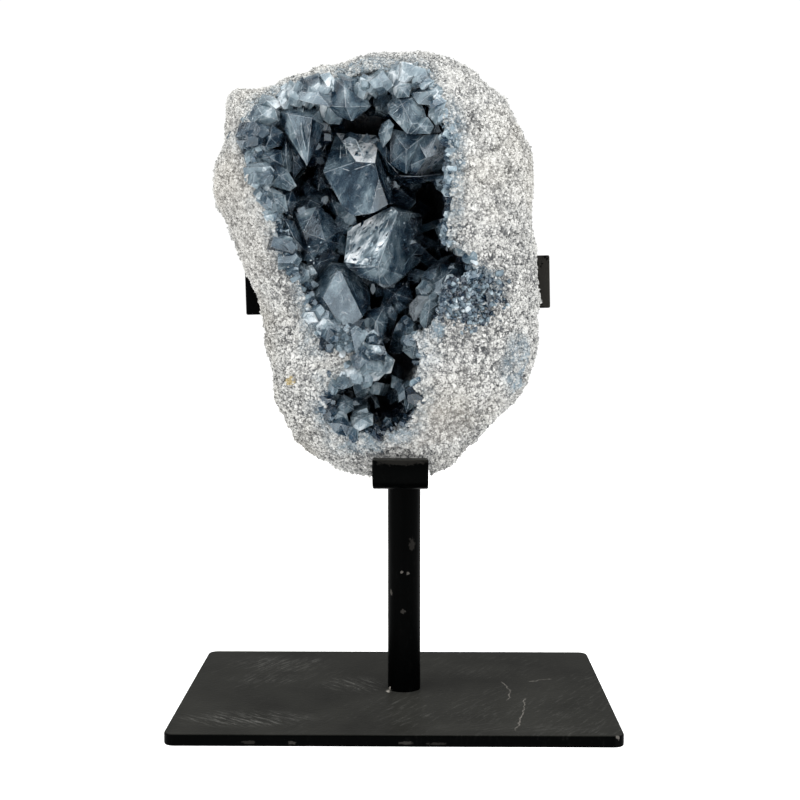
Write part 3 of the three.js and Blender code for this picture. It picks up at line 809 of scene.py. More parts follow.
# The stone's body: the outline shrinks towards the front and back as a superellipse, with lumps along the way
# out from its middle, and inside the rim the front is pushed back to the hollow's wall
def rockSurface():
    middle = np.array(stone["middle"], float)
    rim = smoothLoop(stone["outline"], stone["columns"])
    many = np.linspace(0, pi, 3000)
    share, depth = stoneProfile(many)
    along = np.concatenate([[0], np.cumsum(np.hypot(stone["spacing"] * np.diff(share), np.diff(depth)))])
    angles = np.interp(np.linspace(0, along[-1], stone["rings"] + 2)[1:-1], along, many)
    share, depth = stoneProfile(angles)
    out = np.empty((len(angles), stone["columns"], 3))
    out[:, :, 0] = (rim[None, :, 0] - middle[0]) * share[:, None]
    out[:, :, 1] = depth[:, None]
    out[:, :, 2] = (rim[None, :, 1] - middle[2]) * share[:, None]
    out = np.concatenate([[[0, -stone["front"], 0]], out.reshape(-1, 3), [[0, stone["back"], 0]]])
    points = out + middle
    relief = -stone["drawnIn"]
    for high, wide in (stone["lumps"], stone["knobs"]):
        relief = relief + high * smoothNoise(points, wide)
    points = points + unit(out) * relief[:, None]
    wall, inside = wallOf(points[:, 0], points[:, 2])
    isFront = points[:, 1] < middle[1] + stone["frontDepth"]
    pushed = isFront & (wall > points[:, 1])
    points[:, 1] = np.where(pushed, wall, points[:, 1])
    faces = facingOut(points, closedGrid(len(angles), stone["columns"]))
    return points, faces, np.where(isFront, inside, -40), pushed


# grainyRock: the body moved along its normals by the skin's grains, ledges and each grain's own chance, less
# in the hollow. The tone is darkened by painted shade in the crevices between grains, blue rises to 1 at the
# rim and deep inside the hollow
def grainyRock():
    points, faces, inside, pushed = rockSurface()
    normals = pointNormals(points, faces)
    coarse, mark = grainCells(points, skin["coarse"][0])
    fine, fineMark = grainCells(points, skin["fine"][0])
    ledges = smoothNoise(points + 31, skin["ledges"][0])
    heights = (0.5 - coarse) * skin["coarse"][1] + (0.5 - fine) * skin["fine"][1] + skin["ledges"][1] * ledges
    heights = heights + (mark - 0.5) * skin["uneven"] - skin["sunk"]
    heights = np.where(pushed, heights * skin["inHollow"][0] + skin["inHollow"][1], heights)
    points = clearOfCradle(points + normals * heights[:, None])
    points[:, 2] = np.minimum(points[:, 2], skin["top"])
    x, y, z = points.T
    creviceShade = sum(ramp(cell, low, high) * share
                  for cell, (low, high, share) in zip((coarse, fine), skin["creviceShading"]))
    tone = skin["tone"] + skin["marks"][0] * (mark - 0.5) + skin["marks"][1] * (fineMark - 0.5)
    # painted shade: darker in the crevices between grains
    tone -= skin["shade"] * creviceShade
    near = smoothNoise(points, skin["wavering"][1])
    blue = ramp(inside + skin["wavering"][0] * near, *skin["bluing"])
    for middleX, middleZ, wide, high in sugar["bluish"]:
        away = np.hypot((x - middleX) / wide, (z - middleZ) / high)
        blue = np.maximum(blue, ramp(away + 0.35 * near, 1.25, 0.5) * (y < -20))
    blue = np.maximum(blue, np.where(pushed, 1.0, 0))
    # dark lining and painted shade: the wall darkens the deeper it lies in the hollow, a little less at its
    # top
    deep = np.where(pushed, 0.6 * ramp(y, -31, -25) + 0.4 * ramp(y, -24, -6), 0)
    deep = deep * (1 - 0.3 * ramp(z, 200, 212))
    return points, faces, inside, pushed, {"tone": tone, "blue": blue, "deep": deep}


rockPoints, rockFaces, rockInside, rockPushed, rockValues = grainyRock()
makePiece("geodeRock", rockPoints, rockFaces, rockFinish, ["geode_matrix"], rockValues, True)


# turned: rotation matrices from chance quaternions, each four normal numbers made one long
def turned(count, random):
    w, x, y, z = unit(random.normal(size=(count, 4))).T
    return np.stack([
        np.stack([1 - 2 * (y * y + z * z), 2 * (x * y - z * w), 2 * (x * z + y * w)], -1),
        np.stack([2 * (x * y + z * w), 1 - 2 * (x * x + z * z), 2 * (y * z - x * w)], -1),
        np.stack([2 * (x * z - y * w), 2 * (y * z + x * w), 1 - 2 * (x * x + y * y)], -1),
    ], axis=1)


# scattered: places on the triangles, each as likely as its area times its weight
def scattered(points, faces, weights, count, random):
    a, b, c = (points[faces[:, k]] for k in range(3))
    flat = np.cross(b - a, c - a)
    area = np.linalg.norm(flat, axis=1) / 2
    likely = np.cumsum(area * weights)
    chosen = np.searchsorted(likely, random.random(count) * likely[-1])
    u, v = random.random(count), random.random(count)
    over = u + v > 1
    u, v = np.where(over, 1 - u, u), np.where(over, 1 - v, v)
    places = a[chosen] + (b - a)[chosen] * u[:, None] + (c - a)[chosen] * v[:, None]
    normals = flat[chosen] / np.maximum(2 * area[chosen], tiny)[:, None]
    return places, normals, chosen


# A grain is an octahedron: its corners on the axes, its faces, its half size (mm) and how many go on each
# part of the stone
grain = {
    "corners": np.array([[1, 0, 0], [-1, 0, 0], [0, 1, 0], [0, -1, 0], [0, 0, 1], [0, 0, -1]], float),
    "faces": np.array([[0, 2, 4], [2, 1, 4], [1, 3, 4], [3, 0, 4], [2, 0, 5], [1, 2, 5], [3, 1, 5],
                       [0, 3, 5]]),
    "half": (0.34, 0.9),
    "count": 24000,
    "tone": 0.62,
    "varied": 0.62,
    "asRock": 0.25,  # how much of the rock's tone it takes on
    "darker": 0.12,
    # no grains behind the hook, by how far x is from its middle and by z, nor behind the strap, by its own z,
    # how far z is from that, y and x
    "underHook": (10.5, 92.5),
    "underStrap": (149.5, 11.5, 6, 43),
}


# grainFaces: the octahedron's faces over again, six points further on for each of the grains
def grainFaces(count):
    return (grain["faces"][None] + 6 * np.arange(count)[:, None, None]).reshape(-1, 3)


# Sugar grains: uneven octahedra, each scaled, turned and sunk a little into the rock
def sugarGrains(name, seed, weights, count, bigger=1.0):
    random = np.random.default_rng(seed)
    places, normals, chosen = scattered(rockPoints, rockFaces, weights, count, random)
    half = within(grain["half"], random.random((count, 1)) ** 1.8)
    scale = half[:, :, None] * bigger * (0.55 + 0.6 * random.random((count, 1, 3)))
    shapes = grain["corners"][None] * scale * (0.8 + 0.4 * random.random((count, 6, 1)))
    shapes = np.einsum("nij,nkj->nki", turned(count, random), shapes)
    centres = places + normals * half * (0.25 - 0.5 * random.random((count, 1)))
    points = clearOfCradle((centres[:, None, :] + shapes).reshape(-1, 3))
    points[:, 2] = np.minimum(points[:, 2], skin["grainsTop"])
    # grains take on the rock's values, its painted crevice shade and the painted shade deep in the hollow
    # included
    rock = {label: numbers[rockFaces[chosen, 0]] for label, numbers in rockValues.items()}
    tone = grain["tone"] + grain["varied"] * (random.random(count) - 0.45)
    tone = tone + grain["asRock"] * rock["tone"] - grain["darker"]
    blue = rock["blue"] * (0.35 + 0.65 * random.random(count))
    values = {"tone": np.repeat(tone, 6), "blue": np.repeat(blue, 6), "deep": np.repeat(rock["deep"], 6)}
    makePiece(name, points, grainFaces(count), rockFinish, ["geode_matrix"], values)


centresOfFaces = rockPoints[rockFaces].mean(axis=1)


# grainSkin: no grains deep in the hollow or behind the bars, and larger ones on the back
def grainSkin():
    x, y, z = centresOfFaces.T
    beside, below = grain["underHook"]
    underHook = (np.abs(x - hook["x"]) < beside) & (z < below)
    level, above, behind, aside = grain["underStrap"]
    underStrap = (np.abs(z - level) < above) & (y > behind) & (np.abs(x) > aside)
    shown = np.where(underHook | underStrap, 0, 1.0 - rockValues["deep"][rockFaces[:, 0]])
    inFront, isLeft, isBack = y < -12, x < -6, y >= 8
    sugarGrains("sugarGrainsLeft", 11, shown * (inFront & isLeft), grain["count"])
    sugarGrains("sugarGrainsRight", 12, shown * (inFront & ~isLeft), grain["count"])
    sugarGrains("sugarGrainsSides", 13, shown * (~inFront & ~isBack), grain["count"])
    sugarGrains("sugarGrainsBack", 14, shown * isBack, grain["count"] * 3 // 4, 1.15)


grainSkin()
print("rock done")


# The crystals that the photograph shows, named by where they sit: how milky (0 to 1), the way in to the root
# (mm), the corners round the outline, the corners inside it, each as its two pixels in the photograph and its
# depth y (mm), and faces as three corners with how frosted each is and how much paler or darker it is
# painted, as painted light and shade on that face
crystals = {
    "upper": (0.32, (2, 22, 2), [(336, 133, -15), (323, 171, -26.9), (345, 211, -28.8), (354, 216, -29),
        (372, 214, -28.3), (388, 204.5, -25.5), (403, 200, -10), (399, 184, -9), (386, 166, -11),
        (376, 135, -14)], [(338, 168, -27), (375, 163, -26), (377, 192, -27.2)], [(10, 11, 3, 0, 0.04),
        (0, 9, 11, 0.8, 0), (11, 5, 6, 0, -0.08), (0, 1, 10, 0, 0.05), (12, 4, 5, 0, -0.12)]),
    "middle": (0.4, (2, 24, 0), [(344, 228, -21), (372, 221, -19), (391, 206, -21), (402, 212, -18),
        (421, 214, -13), (422.5, 240, -16), (421, 263, -19), (390, 286, -27), (380, 283, -29),
        (358, 276, -28), (344, 262, -26)], [(398, 212, -24), (378, 267, -35), (358, 268, -30),
        (419, 247, -19)], [(10, 11, 12, 0.9, 0), (11, 12, 4, 0, 0.02), (12, 6, 7, 0, 0.1),
        (12, 13, 9, 0, -0.08)]),
    "left": (0.3, (1, 16, 1), [(294, 211, -22), (316, 207, -23), (330, 214, -21), (341, 230, -18),
        (341, 244, -17), (330, 256, -19), (312, 258, -23), (298, 245, -22), (289, 226, -20)],
        [(303, 232, -30), (325, 240, -28)], [(0, 1, 9, 0, 0.28), (1, 9, 10, 0, 0.06), (1, 10, 3, 0, 0),
        (0, 7, 9, 0, 0)]),
    "lower": (0.38, (-3, 16, 0), [(331, 262, -20), (314, 282, -21), (309, 292, -21), (312, 310, -23),
        (325, 325, -27), (345, 333, -30), (362, 317, -27), (370, 305, -21), (370, 293, -19), (360, 277, -18),
        (347, 264, -18)], [(341, 271, -26), (323, 298, -30)], [(0, 2, 12, 0, 0.02), (11, 12, 5, 0, 0.04),
        (11, 6, 8, 0, -0.1)]),
    "fan": (0.4, (-2, 12, 8), [(276, 110, -22), (290, 103, -22), (322, 105, -22), (324, 125, -24),
        (318, 145, -26), (307, 166, -31), (297, 153, -30), (284, 131, -27)], [(288, 114, -31),
        (303, 148, -35), (312, 118, -32)], [(7, 8, 5, 0, 0.1), (8, 5, 10, 0, 0), (10, 5, 3, 0, -0.08),
        (8, 10, 1, 0, 0)]),
    "fanRib": (0.49, (-1, 10, 6), [(297, 108, -26), (304, 106, -26), (306, 150, -33), (303, 152, -33)],
        [(301, 128, -33.5)], []),
    "slab": (0.47, (4, 16, 2), [(294, 99, -28), (303, 89, -26), (318, 78, -22), (333, 76, -21),
        (337, 88, -25), (330, 107, -33), (311, 104, -32)], [(318, 93, -30.5)], []),
    "pyramid": (0.42, (2, 16, 0), [(328, 106, -31), (333, 92, -28), (334, 77, -23), (346, 74, -22),
        (360, 86, -24), (371, 106, -27), (352, 121, -32), (336, 117, -31)], [(346, 107, -38.5),
        (344, 87, -31)], [(0, 9, 8, 0, -0.12), (9, 8, 5, 0, 0.06), (0, 8, 6, 0, -0.05), (5, 8, 6, 0, 0.04)]),
    "rightFan": (0.5, (-2, 12, 3), [(387, 104, -26), (396, 95, -25), (414, 94, -25), (424, 108, -27),
        (428, 122, -29), (420, 134, -30), (407, 134, -30), (396, 123, -29), (388, 113, -28)],
        [(402, 104, -32), (412, 124, -34)], []),
    "rightFanSide": (0.5, (0, 12, 2), [(414, 118, -29), (428, 117, -30), (434, 126, -30), (430, 134, -31),
        (410, 134, -31)], [(420, 126, -34)], []),
    "shadeCrystal": (0.24, (4, 12, 0), [(377, 140, -20), (386, 146, -23), (402, 178, -21), (390, 178, -14),
        (377, 157, -12)], [(386, 160, -24)], []),
    "flakyNear": (0.34, (0, 12, 2), [(390, 128, -25), (404, 134, -28), (424, 136, -28), (426, 156, -28),
        (406, 174, -26), (390, 164, -23)], [(406, 150, -32)], [(0, 6, 2, 0.22, 0), (2, 6, 4, 0.22, 0.08),
        (0, 6, 5, 0.2, -0.1)]),
    "flakyFar": (0.34, (0, 12, 2), [(416, 136, -27), (438, 134, -28), (446, 152, -28), (442, 176, -26),
        (414, 178, -24), (404, 168, -25)], [(426, 158, -32)], [(0, 6, 1, 0.22, 0), (1, 6, 2, 0.2, 0.08),
        (2, 6, 4, 0.25, 0)]),
    "ledge": (0.16, (0, 12, 3), [(394, 176, -22), (442, 174, -25), (441, 180, -22), (420, 184, -19),
        (400, 183, -18)], [(420, 178, -27)], []),
    "pinkish": (0.45, (0, 10, 2), [(378, 134, -26), (382, 124, -27), (389, 119, -28), (394, 125, -29),
        (391, 138, -29), (383, 148, -27)], [(387, 130, -32)], []),
    "topPale": (0.68, (0, 12, -3), [(400, 62, -16), (418, 52.5, -12), (436, 58, -12), (440, 75, -20),
        (420, 84, -24), (402, 82, -24)], [(418, 70, -25)], []),
    "topLeft": (0.66, (0, 12, -3), [(378, 70, -18), (390, 58, -14), (402, 60, -16), (404, 80, -24),
        (394, 92, -26), (385, 83, -24)], [(393, 74, -27)], []),
    "topLow": (0.66, (0, 10, 0), [(389, 88, -25), (400, 80, -26), (413, 84, -27), (409, 97, -29),
        (397, 98, -28)], [(400, 88, -31)], []),
    "upperRight": (0.5, (0, 12, 0), [(410, 93, -27), (430, 81, -24), (449, 75, -22), (453, 90, -26),
        (442, 106, -28), (418, 104, -29)], [(434, 91, -31)], []),
    "upperRightLow": (0.5, (0, 12, 0), [(429, 106, -27), (446, 98, -26), (455, 108, -27), (448, 120, -29),
        (436, 125, -30), (428, 116, -29)], [(441, 110, -33)], []),
    "topMiddle": (0.7, (0, 10, -2), [(360, 78, -23), (366, 68, -20), (378, 67, -19), (386, 78, -21),
        (379, 88, -25), (366, 88, -26)], [(372, 78, -28)], [(0, 6, 2, 0.5, 0), (2, 6, 4, 0.5, 0)]),
    "topGrey": (0.6, (0, 10, -3), [(341, 73, -20), (352, 64, -16), (366, 60, -14), (372, 68, -18),
        (360, 78, -24), (350, 77, -23)], [(358, 70, -24)], []),
    "leftPale": (0.56, (3, 12, -2), [(240, 119, -26), (256, 104, -26), (275, 106, -27), (278, 120, -28),
        (257, 130, -28), (246, 128, -27)], [(262, 115, -32)], []),
    "leftTop": (0.6, (0, 12, -2), [(257, 106, -25), (262, 94, -22), (273, 96, -24), (284, 104, -26),
        (276, 109, -28)], [(267, 101, -29)], []),
    "leftTopDark": (0.28, (0, 8, -2), [(280, 96, -25), (290, 91, -24), (294, 97, -26), (287, 104, -27)],
        [(287, 97, -29)], []),
    "leftOne": (0.46, (3, 12, 0), [(245, 134, -26), (256, 128, -27), (263, 136, -28), (262, 147, -28),
        (250, 147, -27)], [(255, 138, -31)], []),
    "leftTwo": (0.42, (3, 12, 0), [(258, 130, -27), (272, 125, -28), (283, 132, -28), (279, 146, -28),
        (264, 151, -29)], [(270, 137, -33)], []),
    "leftThree": (0.42, (4, 12, 0), [(250, 149, -27), (266, 148, -28), (281, 152, -28), (284, 166, -27),
        (269, 168, -28), (256, 160, -28)], [(269, 157, -32)], []),
    "leftSlant": (0.42, (4, 10, 0), [(281, 152, -26), (286, 142, -26), (290, 149, -26), (288, 173, -24),
        (281, 169, -25)], [(286, 156, -29)], []),
    "leftShade": (0.22, (2, 10, 0), [(288, 140, -22), (299, 153, -24), (302, 168, -22), (293, 180, -20),
        (286, 168, -21)], [(294, 160, -25)], []),
    "leftPoint": (0.4, (-6, 12, 3), [(261, 172, -28), (274, 164, -28), (287, 169, -28), (297, 186, -29),
        (290, 191, -29), (271, 186, -29)], [(279, 175, -33), (292, 186, -31)], []),
    "leftFour": (0.4, (2, 12, 0), [(259, 192, -28), (272, 187, -29), (285, 195, -29), (288, 211, -29),
        (278, 215, -29), (264, 207, -28)], [(274, 200, -33)], []),
    "leftFive": (0.24, (2, 10, 0), [(281, 196, -26), (292, 190, -26), (297, 202, -25), (291, 215, -25),
        (284, 213, -27)], [(288, 202, -29.5)], []),
    "leftSix": (0.32, (3, 12, 0), [(284, 217, -26), (294, 221, -24), (305, 240, -24), (307, 253, -25),
        (297, 251, -27), (286, 237, -28)], [(294, 238, -30)], []),
    "innerOne": (0.2, (0, 10, 0), [(320, 190, -11), (331, 184, -11), (347, 208, -15), (339, 219, -16),
        (326, 207, -14)], [(332, 200, -19)], []),
    "innerTwo": (0.28, (0, 10, 0), [(296, 200, -15), (308, 190, -13), (319, 192, -13), (323, 206, -16),
        (306, 211, -18)], [(310, 200, -20)], []),
    "innerThree": (0.36, (0, 10, 0), [(313, 178, -14), (318, 161, -12), (327, 168, -14), (327, 187, -16),
        (318, 191, -16)], [(320, 176, -20)], []),
    "innerFour": (0.24, (0, 10, 0), [(320, 140, -14), (330, 134, -12), (335, 140, -12), (326, 161, -14),
        (318, 159, -16)], [(325, 146, -18)], []),
    "innerFive": (0.22, (0, 10, 0), [(306, 259, -22), (322, 250, -20), (336, 257, -20), (330, 265, -20),
        (316, 279, -21), (308, 274, -22)], [(320, 262, -24)], []),
    "innerSix": (0.2, (0, 8, 0), [(431, 241, -3), (438, 234, -3), (445, 243, -3), (443, 263, -5),
        (434, 259, -5)], [(438, 248, -8)], []),
    "innerSeven": (0.24, (0, 10, 0), [(420, 276, -18), (440, 263, -20), (456, 266, -24), (462, 284, -27),
        (440, 296, -26), (424, 290, -22)], [(442, 279, -26)], []),
    "innerEight": (0.2, (0, 10, 0), [(383, 286, -16), (408, 281, -16), (413, 300, -19), (400, 309, -19),
        (383, 307, -18)], [(395, 294, -22)], []),
    "olive": (0.34, (0, 8, 0), [(299, 247, -25), (308, 244, -26), (316, 250, -26), (314, 260, -26),
        (304, 261, -26)], [(308, 252, -30)], []),
    "lumpOne": (0.42, (0, 10, 0), [(409, 305, -23), (418, 295, -23), (430, 296, -24), (426, 312, -28),
        (415, 321, -28), (409, 313, -26)], [(418, 305, -31)], []),
    "lumpTwo": (0.54, (0, 10, 0), [(419, 307, -27), (430, 299, -27), (438, 304, -28), (437, 318, -28),
        (426, 331, -30), (420, 323, -30)], [(429, 311, -34)], []),
    "slateOne": (0.36, (0, 12, 0), [(366, 311, -21), (384, 306, -21), (388, 322, -24), (382, 341, -26),
        (370, 346, -27), (366, 330, -25)], [(376, 322, -29)], []),
    "slateTwo": (0.4, (0, 12, 0), [(342, 335, -28), (354, 322, -28), (364, 319, -28), (368, 341, -28),
        (352, 347, -30)], [(357, 331, -33)], []),
    "slateThree": (0.5, (0, 12, 0), [(318, 332, -28), (328, 324, -29), (340, 328, -30), (345, 338, -31),
        (338, 351, -32), (322, 345, -31)], [(331, 336, -35)], []),
    "paleOne": (0.68, (0, 10, 0), [(346, 351, -31), (358, 343, -30), (372, 346, -30), (379, 357, -31),
        (363, 367, -32), (348, 363, -32)], [(361, 354, -36)], [(0, 6, 2, 0.4, 0), (2, 6, 4, 0.4, 0)]),
    "paleTwo": (0.6, (0, 10, 0), [(376, 357, -29), (386, 352, -28), (395, 360, -28), (391, 373, -29),
        (380, 375, -31)], [(385, 363, -34)], []),
    "paleThree": (0.64, (0, 10, 0), [(357, 368, -31), (368, 362, -32), (385, 373, -31), (378, 381, -30),
        (364, 381, -31)], [(369, 371, -36)], []),
    "paleFour": (0.46, (0, 10, 0), [(404, 342, -27), (419, 332, -29), (428, 342, -29), (425, 357, -29),
        (412, 359, -29), (402, 351, -26)], [(415, 346, -34)], []),
    "pocketOne": (0.34, (0, 10, 0), [(334, 402, -27), (344, 394, -28), (353, 400, -26), (354, 410, -26),
        (344, 415, -28), (334, 411, -28)], [(344, 403, -32)], []),
    "pocketTwo": (0.42, (0, 10, 0), [(328, 423, -29), (342, 414, -29), (353, 428, -30), (347, 437, -31),
        (335, 433, -31)], [(341, 424, -34)], []),
    "pocketThree": (0.5, (0, 10, 0), [(350, 417, -26), (360, 411, -25), (373, 414, -25), (373, 425, -28),
        (360, 431, -30), (352, 427, -29)], [(361, 419, -32)], []),
    "pocketFour": (0.62, (0, 6, 0), [(371, 396, -16), (377, 397, -16), (380, 407, -17), (375, 409, -17)],
        [(375, 402, -20)], []),
    "pocketFive": (0.6, (0, 8, 0), [(407, 385, -24), (413, 376, -25), (420, 382, -26), (418, 393, -26),
        (410, 393, -25)], [(413, 385, -29)], []),
    "pocketSix": (0.55, (0, 8, 0), [(403, 397, -23), (412, 394, -25), (415, 406, -26), (406, 413, -26)],
        [(409, 402, -28.5)], []),
    "pocketSeven": (0.1, (0, 8, 0), [(391, 367, -15), (398, 362, -15), (404, 370, -16), (402, 387, -18),
        (393, 389, -18)], [(398, 375, -21)], []),
    "pocketEight": (0.14, (0, 8, 0), [(383, 389, -12), (396, 384, -12), (401, 398, -14), (390, 405, -14)],
        [(392, 394, -17)], []),
    "rimOne": (0.48, (-2, 10, 0), [(437, 226, -27), (447, 216, -28), (457, 228, -29), (454, 241, -29),
        (444, 241, -28)], [(447, 229, -32)], []),
    "rimTwo": (0.66, (-2, 10, 0), [(455, 247, -28), (464, 240, -28), (477, 246, -30), (470, 257, -30),
        (458, 256, -29)], [(465, 248, -33)], []),
    "rimThree": (0.44, (-2, 10, 0), [(464, 262, -27), (478, 252, -28), (494, 266, -30), (485, 281, -30),
        (470, 277, -28)], [(478, 265, -33)], []),
    "rimFour": (0.08, (0, 8, 0), [(478, 287, -30), (486, 284, -31), (495, 292, -32), (488, 305, -32),
        (478, 299, -31)], [(486, 293, -34)], []),
    "rimFive": (0.38, (-2, 10, 0), [(442, 181, -26), (452, 180, -28), (459, 190, -29), (456, 199, -29),
        (447, 193, -27)], [(451, 188, -31)], []),
    "rimSix": (0.5, (0, 8, 0), [(447, 159, -30), (458, 150, -31), (467, 160, -32), (462, 173, -32),
        (450, 174, -31)], [(456, 162, -35)], []),
    "rimSeven": (0.5, (0, 8, 0), [(445, 140, -29), (458, 134, -30), (468, 144, -31), (460, 153, -32),
        (448, 152, -31)], [(456, 143, -34)], []),
}


cut = {
    "taper": 0.62,  # width at the root, as a share of the width at the front
    "slack": 0.45,  # how far (mm) a corner may lie outside a face
    "nearlyFlat": 13,  # degrees
    "heart": 0.3,  # share of the way in where a point is surely inside
    "smallest": 0.5,  # twice the area of the smallest triangle that gives a face, mm2
    "width": 0.14,  # width of a worn edge (mm)
    "blunt": 9,  # edges that turn by less (degrees) aren't worn
    "behind": 0.25,  # nor are those of faces that look further back than this
    "joined": 0.002,  # corners nearer to each other (mm) are one
    "varied": 0.09,  # how much faces differ in tone by chance
    "frosted": 0.15,  # from this value on a face has flakes
    "flakes": 0.7,  # flakes on each square millimetre of frosted face
    "flakeHalf": (0.3, 1.6),  # mm, and below, its length, width and thickness as shares of that
    "flakeShape": [1.0, 0.5, 0.12],
    "flakeAlong": [0.45, 0, 0.9],
    "glintFacing": [[0.3, -0.93, 0.2]],
    "streakFacing": [[0.0, -1, 0.1]],
    "streakThick": 0.05,
    "streakOff": 0.4,  # how far (mm) its middle may lie off the line between its ends
    # painted glints as single white shards: pixels in the photograph, how large (mm) and how white
    "glintShards": [
        (404, 223, 0.55, 0.8), (413, 234, 0.6, 0.8), (404, 240, 0.45, 0.6), (408, 250, 0.4, 0.5),
        (390, 262, 0.35, 0.45), (396, 236, 0.3, 0.5), (411, 229, 0.3, 0.6), (318, 220, 0.5, 0.7),
        (321, 242, 0.7, 0.6), (309, 247, 0.5, 0.9), (311, 260, 0.5, 0.95), (314, 263, 0.6, 0.9),
        (317, 259, 0.3, 0.8), (403, 284, 0.35, 0.8), (407, 287, 0.45, 0.9), (411, 290, 0.3, 0.85),
        (352, 87, 0.7, 0.95), (353, 89, 0.4, 0.9), (253, 118, 0.5, 0.9), (259, 117, 0.35, 0.8),
        (259, 146, 0.5, 0.9), (262, 150, 0.35, 0.8), (258, 149, 0.25, 0.8), (327, 245, 0.3, 0.6),
        (322, 252, 0.3, 0.6), (300, 216, 0.2, 0.6), (333, 180, 0.2, 0.6), (360, 185, 0.25, 0.5),
        (366, 178, 0.3, 0.6), (371, 184, 0.25, 0.6), (362, 196, 0.2, 0.5), (352, 200, 0.2, 0.5),
        (420, 250, 0.3, 0.5), (345, 290, 0.3, 0.6), (350, 297, 0.25, 0.5), (346, 310, 0.3, 0.5),
    ],
}


# cutBlock: the solid behind all planes, normal . p <= reach. A corner is where three planes meet and no other
# plane cuts it off; a face is the corners on one plane
def cutBlock(normals, reaches):
    triples = np.array(list(combinations(range(len(normals)), 3)))
    matrices = normals[triples]
    meets = np.abs(np.linalg.det(matrices)) > 1e-5
    triples, matrices = triples[meets], matrices[meets]
    corners = np.linalg.solve(matrices, reaches[triples][:, :, None])[:, :, 0]
    corners = corners[(corners @ normals.T <= reaches + 2e-4).all(axis=1)]
    corners = corners[np.unique(np.round(corners, 3), axis=0, return_index=True)[1]]
    apart = np.linalg.norm(corners[:, None] - corners[None], axis=2)
    corners = corners[~(np.triu(apart < cut["joined"], 1)).any(axis=0)]
    return corners, np.abs(corners @ normals.T - reaches) < 2 * cut["joined"]


# facePlanes: the planes through three corners that leave no corner further outside than the slack, the given
# faces first and then the widest; a plane that is nearly one already taken is left out. The corners are the
# outline, those inside it, and the outline again, drawn in and moved to the root
def facePlanes(toRoot, ring, inner, faces):
    ring, inner = atDepth(ring), atDepth(inner)
    middle, toRoot = ring.mean(axis=0), np.array(toRoot, float)
    foot = middle + toRoot + cut["taper"] * (ring - middle)
    corners = np.concatenate([ring, inner, foot])
    triples = np.array([face[:3] for face in faces] + list(combinations(range(len(corners)), 3)))
    a, b, c = (corners[triples[:, k]] for k in range(3))
    normals = np.cross(b - a, c - a)
    area = np.linalg.norm(normals, axis=1)
    normals /= np.maximum(area, tiny)[:, None]
    heart = middle + cut["heart"] * toRoot
    normals *= np.sign(np.einsum("nk,nk->n", normals, a - heart))[:, None]
    reaches = np.einsum("nk,nk->n", normals, a)
    outside = (corners @ normals.T - reaches).max(axis=0)
    area[:len(faces)] = 1 / tiny
    outside[:len(faces)] = 0
    taken = []
    for index in np.argsort(-area, kind="stable"):
        if area[index] > cut["smallest"] and outside[index] < cut["slack"]:
            if not taken or (normals[taken] @ normals[index]).max() < np.cos(radians(cut["nearlyFlat"])):
                taken.append(index)
    looks = np.array([faces[index][3:] if index < len(faces) else (0.0, 0.0) for index in taken])
    return normals[taken], reaches[taken], looks


# wornEdges: one more plane along each edge, halfway between its two faces and as deep as makes all the worn
# edges equally wide
def wornEdges(normals, reaches):
    corners, touching = cutBlock(normals, reaches)
    shared = touching.T.astype(int) @ touching.astype(int)
    first, second = np.nonzero(np.triu(shared >= 2, 1))
    turn = np.arccos(np.clip(np.einsum("nk,nk->n", normals[first], normals[second]), -1, 1))
    shown = np.minimum(normals[first, 1], normals[second, 1]) < cut["behind"]
    kept = (turn > radians(cut["blunt"])) & shown
    first, second, turn = first[kept], second[kept], turn[kept]
    onEdge = corners[(touching[:, first] & touching[:, second]).argmax(axis=0)]
    halfway = unit(normals[first] + normals[second])
    reach = np.einsum("nk,nk->n", halfway, onEdge) - cut["width"] / 2 * np.tan(turn / 2)
    return np.concatenate([normals, halfway]), np.concatenate([reaches, reach])


frostedFaces = []
seenCrystals = []


# onCrystals: where the lines of sight through the pixels first meet the cut crystals, and whether they do
def onCrystals(pixels):
    start = Vector(view["place"]) / millimetre
    places = []
    for ray in photoRays(pixels):
        meets = [tree.ray_cast(start, Vector(ray)) for tree in seenCrystals]
        meets = [(distance, place) for place, normal, index, distance in meets if place is not None]
        places.append(min(meets)[1] if meets else (0, 0, 0))
    places = np.array(places, float)
    return places, places.any(axis=1)


